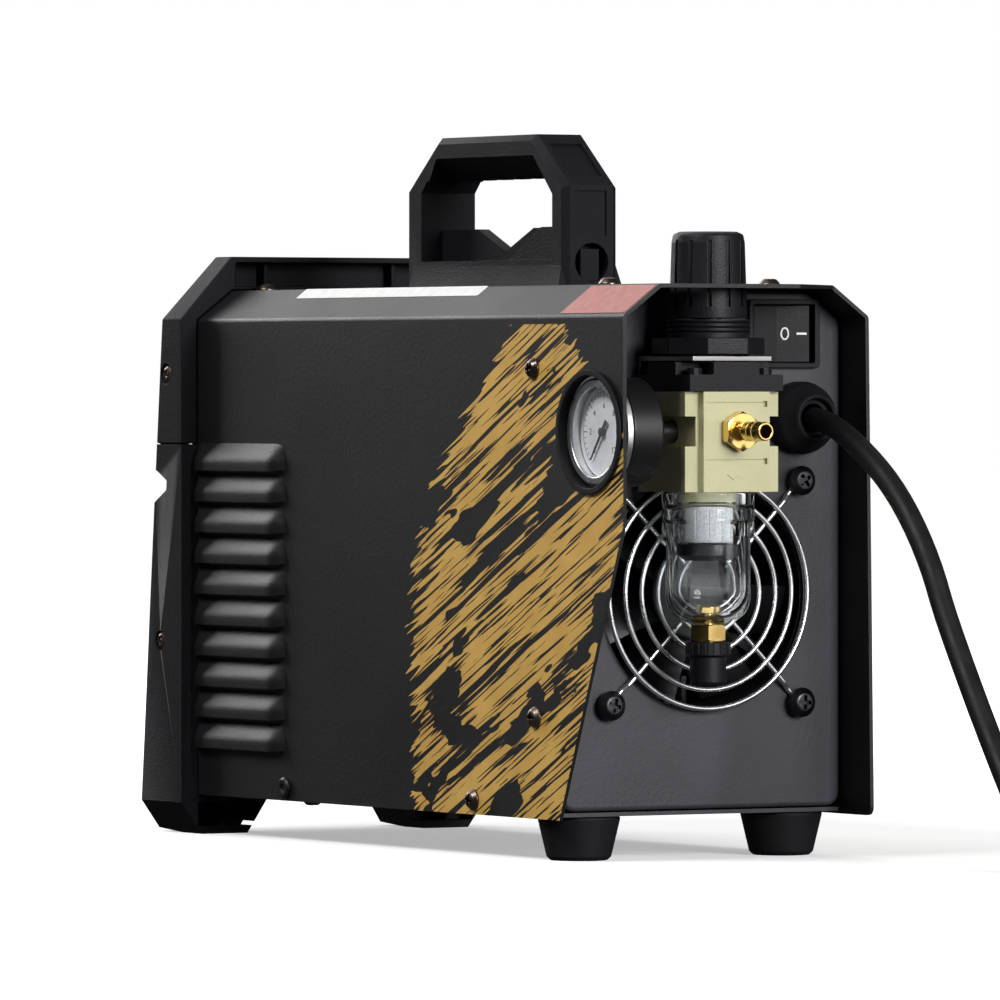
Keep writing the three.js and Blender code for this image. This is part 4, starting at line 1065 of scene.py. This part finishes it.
def make_fan_frame():
    half, bore, front, back = 46.2, 43.5, -27, -1.8
    z = FAN_Z
    frame_block = prism("Y", rounded(rectangle(-half, half, z - half, z + half), 4, 6), front, back)
    tools = [lathe("Y", disc(bore, front - 1, back + 1), 128, (0, z))]
    tools += [lathe("Y", disc(2.4, front - 1, back + 1), 24, corner) for corner in fan_corners()]
    body = carve(frame_block, *tools)
    struts = around(3, "Y", lambda: block((-2.5, 2.5), (front, front + 2.5), (15, bore + 1)))
    for strut in struts:
        moved(strut, Matrix.Translation((0, 0, z)))
    body = fuse(body, lathe("Y", disc(19, front, front + 3, 0.6), 64, (0, z)), *struts)
    body = carve(body, lathe("Y", disc(1.8, front + 1, front + 5), 24, (0, z)))
    return soften(body, 0.4, 2, 40)


def make_blade():
    """A thin cambered blade, steeper at its root, with its tip swept forward."""
    root, span, half_chord, middle = 17, 24.3, 10.5, -14.6
    rows = []
    for r in range(9):
        out = r / 8
        radius = root + span * out
        pitch = math.radians(44 - 12 * out)
        row = []
        for c in range(13):
            chord = half_chord * (c / 6 - 1)
            bow = 1.6 * (1 - (chord / half_chord) ** 2)
            across = chord * math.cos(pitch) - bow * math.sin(pitch) + 2.4 * out ** 2
            depth = chord * math.sin(pitch) * 0.98 + bow * math.cos(pitch)
            angle = across / radius
            row.append((radius * math.sin(angle), middle + depth, radius * math.cos(angle)))
        rows.append(row)
    return surface(rows, 1.1)


def make_rotor():
    front, back = -23.4, -6
    hub = turned("Y", [(0, front, 0), (18, front), (18, back, 1.6), (0, back, 0)], 0.6, 5, 96)
    return moved(fuse(hub, *around(7, "Y", make_blade)), Matrix.Translation((0, 0, FAN_Z)))


def make_guard():
    """Five bright rings on four spokes; each spoke dips to an eye under its screw."""
    wire, proud = 0.95, 4.2
    parts = []
    for radius in (43, 36, 29, 22, 15):
        loop = [(x, proud, z) for x, z in circle(radius, 96)]
        parts.append(tube(loop, wire, 12, closed=True))
    reach = FAN_SCREWS * math.sqrt(2)
    for quarter in range(4):
        line = [(13.5, proud - 1.3, 0), (30, proud - 1.3, 0), (46, proud - 1.3, 0), (48.2, proud - 1.7, 0),
                (50.4, 1.5, 0), (52, 1.35, 0), (reach - 3.4, 1.35, 0)]
        spin = Matrix.Rotation(math.pi / 4 + quarter * math.pi / 2, 4, "Y")
        parts.append(moved(tube(curve_through(line, 4), wire, 12), spin))
        eye = [(reach + x, 1.35, z) for x, z in circle(3.6, 32)]
        parts.append(moved(tube(eye, wire, 12, closed=True), spin))
    return moved(gather(*parts), Matrix.Translation((0, 0, FAN_Z)))


def guard_screw():
    """A broad black head with a cross recess and its shank, along +Y."""
    head = turned("Y", [(0, 2.5, 0), (5.5, 2.5), (5.5, 4.0), (3.4, 5.9, 2.0), (0, 6.0, 0)], 0.4, 5, 48)
    shank = lathe("Y", disc(1.9, -12, 2.6, 0.3), 24)
    recess = [block((-x, x), (4.2, 8), (-z, z)) for x, z in ((2.7, 0.75), (0.75, 2.7))]
    return soften(carve(fuse(head, shank), *recess), 0.2, 2, 45)


stand_in("fan_frame", make_fan_frame(), SATIN_BLACK)
stand_in("fan_rotor", make_rotor(), BLACK, sharp=50)
stand_in("fan_guard", make_guard(), CHROME, sharp=60)
for i, (x, z) in enumerate(fan_corners()):
    spin = Matrix.Translation((x, 0, z)) @ Matrix.Rotation(0.4 + 0.9 * i, 4, "Y")
    stand_in(f"fan_screw_{i + 1}", moved(guard_screw(), spin), BLACK_SCREW)


# ---------------------------------------------------------------- power switch

def make_switch_housing():
    x, z = SWITCH_X, SWITCH_Z
    flange = prism("Y", rounded(rectangle(x - 15.4, x + 15.4, z - 12.8, z + 12.8), 1.6, 5), 0.3, 2.6)
    clip = block((x - 14.2, x + 14.2), (-22, 1), (z - 11.7, z + 11.7))
    well = block((x - 13.2, x + 13.2), (-12.5, 4), (z - 10.8, z + 10.8))
    return soften(carve(fuse(flange, clip), well), 0.45, 3, 40)


ROCKER_SLOPE = math.radians(10)
ROCKER = MACHINE @ Matrix.Translation((SWITCH_X, -3, SWITCH_Z)) @ Matrix.Rotation(-ROCKER_SLOPE, 4, "Z")


def make_rocker():
    half, height = 12.4, 21
    rise = half * math.tan(ROCKER_SLOPE)
    section = [(0, 0, 1.2), (half, rise), (half - 0.6, rise - 4.5), (3, -6.5), (-3, -6.5),
               (-half + 0.6, rise - 4.5), (-half, rise)]
    return soften(prism("Z", rounded(section, 0.6, 3), -height / 2, height / 2), 0.5, 3, 40)


def make_switch_marks():
    """The usual circle and bar, printed on one half of the paddle."""
    def on_face(made, distance):
        spin = Matrix.Rotation(-ROCKER_SLOPE, 4, "Z")
        return moved(made, spin @ Matrix.Translation((-distance, 0.02, 0)))

    oval = [(1.35 * x, 0, 2.1 * z) for x, z in circle(1, 32)]
    circle_mark = tube(oval, 0.32, 8, closed=True)
    circle_mark.data.transform(Matrix.Scale(0.35, 4, (0, 1, 0)))
    bar_mark = prism("Y", rounded(rectangle(-1.9, 1.9, -0.4, 0.4), 0.15), -0.1, 0.12)
    return gather(on_face(circle_mark, 2.9), on_face(bar_mark, 9.3))


stand_in("switch_housing", make_switch_housing(), SATIN_BLACK)
stand_in("switch_rocker", make_rocker(), SATIN_BLACK, ROCKER)
show("switch_marks", make_switch_marks(), WHITE, "rocker", ROCKER)


# ---------------------------------------------------------------- filter regulator

def make_regulator_body():
    body = from_cad("regulator_body")
    x, face = REGULATOR_X - 12.3, REGULATOR_Y + 18.4
    dots = [block((x - 0.9, x + 0.9), (face, face + 3.6), (z - 1.1, z + 1.1))
            for z in (PORT_Z - 11, PORT_Z + 10)]
    return soften(carve(body, *dots), 0.4, 3, 40)


def make_flow_arrow():
    """A plain arrow cast on the block under the air inlet."""
    outline = [(-3, -0.9), (0.2, -0.9), (0.2, -2.3), (3.2, 0), (0.2, 2.3), (0.2, 0.9), (-3, 0.9)]
    arrow = prism("Y", rounded(outline, 0.25, 2), 19.7, 20.35)
    return moved(soften(arrow, 0.12), Matrix.Translation((0.9, 0, 127.2)))


def make_regulator_knob():
    top = 216.3
    profile = [(0, 184.4, 0), (14.3, 184.4), (14.3, 188), (13.5, top - 4, 0.8), (12.9, top - 1, 1.4),
               (10.6, top, 0.6), (0, top, 0)]
    knob = turned("Z", profile, 0.4, 4, 96)
    outline = rounded(rectangle(12.9, 17, -0.95, 0.95), 0.45)
    grooves = around(12, "Z", lambda: prism("Z", outline, 188.6, top - 3.2))
    bore = [(0, 183, 0), (5.1, 183), (5.1, 191), (4.3, 192), (4.3, 210), (0, 210, 0)]
    return soften(carve(knob, *grooves, turned("Z", bore, 0.2, 2, 48)), 0.28, 3, 42)


def make_bowl():
    """A clear cup with a rounded bottom, a collar and eight ribs under the collar."""
    def bottom(radius, low, start, end):
        """A deep curve, squarer than a half ball."""
        steps, depth, squareness = 14, 11.8, 0.74
        angles = [start + (end - start) * i / steps for i in range(steps + 1)]
        return [(radius * math.cos(a) ** squareness, low + depth - depth * abs(math.sin(a)) ** squareness)
                for a in angles]

    outer, wall, collar = 15.6, 1.8, 17.1
    top = rounded([(outer, 109, 0.4), (collar, 110.6, 0.8), (collar, 120.4, 0.6), (12.6, 120.4, 0.4),
                   (12.6, 116, 0.8), (outer - wall, 114, 0.8)], 0.4, 4, False)
    profile = [(3.1, 72.2), *bottom(outer, 72, -1.25, 0), *top, *bottom(outer - wall, 74.4, 0, -1.2),
               (3.1, 74.6), (3.1, 72.2)]
    rib = rounded(rectangle(14.6, 17.0, -1.9, 1.9), 0.7, 3)
    return fuse(lathe("Z", profile, 96), *around(8, "Z", lambda: prism("Z", rib, 104.5, 111), 0.35))


def hexagon_nut(axis, corner, low, high, chamfer=0.9):
    """A hexagon with its corners turned off at both ends."""
    nut = prism(axis, circle(corner, 6), low, high)
    rise = 0.6 * chamfer
    profile = [(0, low), (corner - chamfer, low), (corner, low + rise),
               (corner, high - rise), (corner - chamfer, high), (0, high)]
    return boolean("INTERSECT", nut, [lathe(axis, profile, 64)])


def make_drain_valve():
    stem = [(0, 57, 0), (2.6, 57), (2.6, 75.2), (4.6, 75.4), (4.6, 77.6), (0, 77.6, 0)]
    return fuse(hexagon_nut("Z", 7.2, 65.9, 71.9), turned("Z", stem, 0.3, 3, 48))


def make_drain_knob():
    points = [(2.9, 50), (6.2, 50), (6.75, 50.8), (6.75, 60), (8.35, 60.6), (8.35, 65.4), (2.9, 65.4)]
    grooves = around(20, "Z", lambda: lathe("Z", disc(0.45, 61.3, 68), 12, (8.45, 0)))
    return carve(ring("Z", points, 0.45), *grooves)


def make_barb():
    """The brass hose barb: a hexagon, three saw-tooth rings and a clear bore."""
    face, bore = 20, 2.3
    points = [(bore, face - 8), (5.8, face - 8), (5.8, face + 0.4), (3.1, face + 0.4), (3.1, face + 8)]
    for i in range(3):
        start = face + 8 + 3.6 * i
        points += [(3.7, start), (3.7, start + 0.8), (3.05, start + 3.6)]
    points += [(3.55, face + 19.2), (3.2, face + 20.3), (bore + 0.1, face + 20.3)]
    spout = ring("Y", points, 0.22)
    nut = hexagon_nut("Y", 7.4, face + 0.4, face + 4.8, 1.0)
    nut = moved(nut, Matrix.Rotation(math.pi / 2, 4, "Y"))
    nut = carve(nut, lathe("Y", disc(bore + 0.4, face - 2, face + 9), 48))
    return moved(fuse(spout, nut), Matrix.Translation((0, 0, PORT_Z)))


def make_filter():
    """The sintered sleeve, with shallow flutes down its outside."""
    sleeve = ring("Z", rectangle(4, 9.1, 102, 116.4), 0.5, sides=72)
    return carve(sleeve, *around(12, "Z", lambda: lathe("Z", disc(0.5, 103.5, 115), 12, (9.25, 0))))


stand_in("regulator_body", make_regulator_body(), CHAMPAGNE, sharp=35)
show("flow_arrow", make_flow_arrow(), CHAMPAGNE, at=REGULATOR)
stand_in("regulator_bonnet", soften(from_cad("regulator_bonnet"), 0.3, 2, 40), SATIN_BLACK, sharp=30)
stand_in("regulator_bracket", soften(from_cad("regulator_bracket"), 0.25, 2, 40), ZINC)
stand_in("regulator_ring_nut", soften(from_cad("regulator_ring_nut"), 0.5, 3, 25), SATIN_BLACK, sharp=30)
spindle = turned("Z", [(0, 172, 0), (4.8, 172), (4.8, 186), (4, 187), (4, 206), (0, 206, 0)], 0.3, 3, 48)
stand_in("regulator_spindle", spindle, STEEL, REGULATOR)
stand_in("regulator_knob", make_regulator_knob(), SATIN_BLACK, REGULATOR)
stand_in("filter_bowl", make_bowl(), CLEAR, REGULATOR)
stand_in("filter_element", make_filter(), SINTERED, REGULATOR)
baffle = [(0, 95.5, 0), (8.5, 95.5), (11.6, 97.5), (11.6, 101.6), (3.6, 101.6), (3.6, 121.6), (0, 121.6, 0)]
stand_in("filter_baffle", turned("Z", baffle, 0.4, 3), BLACK, REGULATOR)
stand_in("drain_valve", make_drain_valve(), BRASS_UPRIGHT, REGULATOR)
stand_in("drain_knob", make_drain_knob(), SATIN_BLACK, REGULATOR)
stand_in("inlet_barb", make_barb(), BRASS, REGULATOR)
stand_in("outlet_fitting", soften(from_cad("outlet_fitting"), 0.3, 2, 40), BRASS)


# ---------------------------------------------------------------- pressure gauge

def make_gauge_case():
    case = turned("X", [(0, 40, 0), (19, 40), (20, 41), (20, 53), (0, 53, 0)], 0.6, 3, 96)
    return fuse(case, lathe("X", disc(4, REGULATOR_X + 9, 41), 32))


def make_gauge_bezel():
    profile = [(17.4, 53.3, 0.2), (20, 53.3, 0.4), (20, 57.6, 0.9), (19, 58.6, 0.8), (16.6, 58.6, 0.6),
               (16.1, 57.6, 0.3), (17.4, 57.2, 0.2)]
    return ring("X", profile, 0.4, 4, 96)


NEEDLE_REST = math.radians(142)
SCALE_END = math.radians(135)
DIAL_FACE = 54.1


def make_needle():
    hub = lathe("X", disc(1.6, 54.5, 55.9, 0.3), 32)
    blade = prism("X", [(-0.75, -5), (0.75, -5), (0.45, 3), (0.16, 13), (-0.16, 13), (-0.45, 3)], 54.9, 55.4)
    return moved(fuse(hub, blade), Matrix.Rotation(NEEDLE_REST, 4, "X"))


def dial_point(angle, radius):
    """A place on the dial; the scale opens downwards and runs clockwise seen from outside."""
    return (-radius * math.sin(angle), radius * math.cos(angle))


def make_dial_marks():
    ticks = []
    for i in range(31):
        half, start = (0.09, 13.0) if i % 5 else (0.16, 12.0)
        tick = prism("X", rectangle(-half, half, start, 14.6), DIAL_FACE - 0.03, DIAL_FACE + 0.05)
        ticks.append(moved(tick, Matrix.Rotation(SCALE_END - math.radians(9 * i), 4, "X")))
    rim = [(DIAL_FACE, *dial_point(SCALE_END - math.radians(4.5 * i), 14.7)) for i in range(61)]
    ticks.append(tube(rim, 0.09, 6))
    return gather(*ticks)


def numeral(text, y, z, size):
    """A figure standing on the dial, facing +X."""
    font = bpy.data.curves.new("numeral", "FONT")
    font.body = text
    font.size = size
    font.align_x = "CENTER"
    font.align_y = "CENTER"
    font.extrude = 0.03
    font.resolution_u = 3
    carrier = bpy.data.objects.new("numeral", font)
    bpy.context.scene.collection.objects.link(carrier)
    bpy.context.view_layer.update()
    mesh = bpy.data.meshes.new_from_object(carrier.evaluated_get(bpy.context.evaluated_depsgraph_get()))
    bpy.data.objects.remove(carrier)
    upright = Matrix(((0, 0, 1, 0), (1, 0, 0, 0), (0, 1, 0, 0), (0, 0, 0, 1)))
    return moved(placed(mesh), Matrix.Translation((DIAL_FACE + 0.02, y, z)) @ upright)


def make_numerals():
    figures = []
    for i, text in enumerate(("0", "2", "4", "6", "8", "10", "12")):
        y, z = dial_point(SCALE_END - math.radians(45 * i), 9.6)
        figures.append(numeral(text, y, z, 3.3))
    return gather(*figures)


stand_in("gauge_case", make_gauge_case(), BLACK, GAUGE)
stand_in("gauge_bezel", make_gauge_bezel(), CHROME, GAUGE)
stand_in("gauge_dial", lathe("X", disc(17, 53.4, 54.1, 0.15), 64), DIAL_WHITE, GAUGE)
stand_in("gauge_needle", make_needle(), BLACK_INK, GAUGE)
stand_in("gauge_lens", lathe("X", disc(17, 56.2, 56.9, 0.15), 64), LENS, GAUGE)
show("dial_ticks", make_dial_marks(), BLACK_INK, at=GAUGE)
show("dial_numerals", make_numerals(), BLACK_INK, at=GAUGE)


# ---------------------------------------------------------------- gland and inside

def make_gland():
    throat = 5.2
    points = [(throat, -9), (11.5, -9), (11.5, -1.9), (8.4, -1.9), (8.4, 0.3), (13.5, 0.3), (13.5, 5, 2.0),
              (12.5, 8, 1.5), (10.0, 12, 1.2), (9, 14), (8.2, 15), (7.2, 14.4), (6.6, 12), (throat, 11.6)]
    return ring("Y", points, 0.45, 4, 96, (GLAND_X, GLAND_Z))


stand_in("cord_gland", make_gland(), RUBBER)
repaint(BOARD, "main_board")
repaint(ALUMINIUM, "heat_sink")
repaint(WINDING, "transformer")
repaint(BLUE, "capacitor_1", "capacitor_2", "air_hose")
repaint(BLACK, "solenoid_valve")


# ---------------------------------------------------------------- stage and light

def make_floor():
    finish = Finish("pale_floor", "white")
    value = finish.value
    finish.use(Base_Color=toned(finish, (0.86, 0.86, 0.86), 0.01, 3), Roughness=0.9)
    # The floor glows a little under the machine, and more and more away from it.
    x, y, z = finish.node("SeparateXYZ", {"Vector": finish.where}).outputs
    away = value("SQRT", value("ADD", value("POWER", x, 2.0), value("POWER", y, 2.0)))
    glow = value("SMOOTH_MAX", value("MULTIPLY", value("SUBTRACT", away, 0.1), 0.9), 0.42, 0.2)
    finish.use(Emission_Color=(1, 1, 1, 1), Emission_Strength=value("MINIMUM", glow, 1.0))
    floor = prism("Z", rectangle(-14, 14, -14, 14), -0.01, 0)
    floor.name = "floor"
    floor.data.materials.append(finish.material)
    floor.visible_glossy = False
    floor.visible_diffuse = False


def make_world():
    """White behind the object, and a dimmer, even light on it."""
    world = bpy.data.worlds.new("studio")
    bpy.context.scene.world = world
    world.use_nodes = True
    tree = world.node_tree
    seen = tree.nodes.new("ShaderNodeBackground")
    seen.inputs["Color"].default_value = (1, 1, 1, 1)
    fill = tree.nodes["Background"]
    fill.inputs["Color"].default_value = (0.93, 0.96, 1, 1)
    fill.inputs["Strength"].default_value = 0.06
    path = tree.nodes.new("ShaderNodeLightPath")
    mix = tree.nodes.new("ShaderNodeMixShader")
    tree.links.new(path.outputs["Is Camera Ray"], mix.inputs[0])
    tree.links.new(fill.outputs[0], mix.inputs[1])
    tree.links.new(seen.outputs[0], mix.inputs[2])
    tree.links.new(mix.outputs[0], tree.nodes["World Output"].inputs["Surface"])


def softbox(name, azimuth, elevation, distance, width, height, power):
    """A rectangular light aimed at the middle of the machine. Azimuth 0 stands in front of it, 90 at +X."""
    data = bpy.data.lights.new(name, "AREA")
    data.shape = "RECTANGLE"
    data.size = width
    data.size_y = height
    data.energy = power
    light = bpy.data.objects.new(name, data)
    a, e = math.radians(azimuth), math.radians(elevation)
    way = Vector((math.sin(a) * math.cos(e), -math.cos(a) * math.cos(e), math.sin(e)))
    light.location = Vector((0, 0.02, 0.12)) + way * distance
    light.rotation_euler = (-way).to_track_quat("-Z", "Y").to_euler()
    bpy.context.scene.collection.objects.link(light)


make_floor()
make_world()
softbox("key", 185, 15, 3.4, 1.2, 1.2, 108)
softbox("sky", -8, 38, 3.0, 3.0, 1.6, 26)
softbox("rear_sheen", 214, 6, 3.0, 1.4, 1.4, 9)
softbox("front_fill", 12, 20, 3.0, 1.2, 1.2, 30)
softbox("right_fill", 98, 46, 3.0, 1.4, 1.0, 60)
bpy.context.scene.view_settings.view_transform = "Standard"
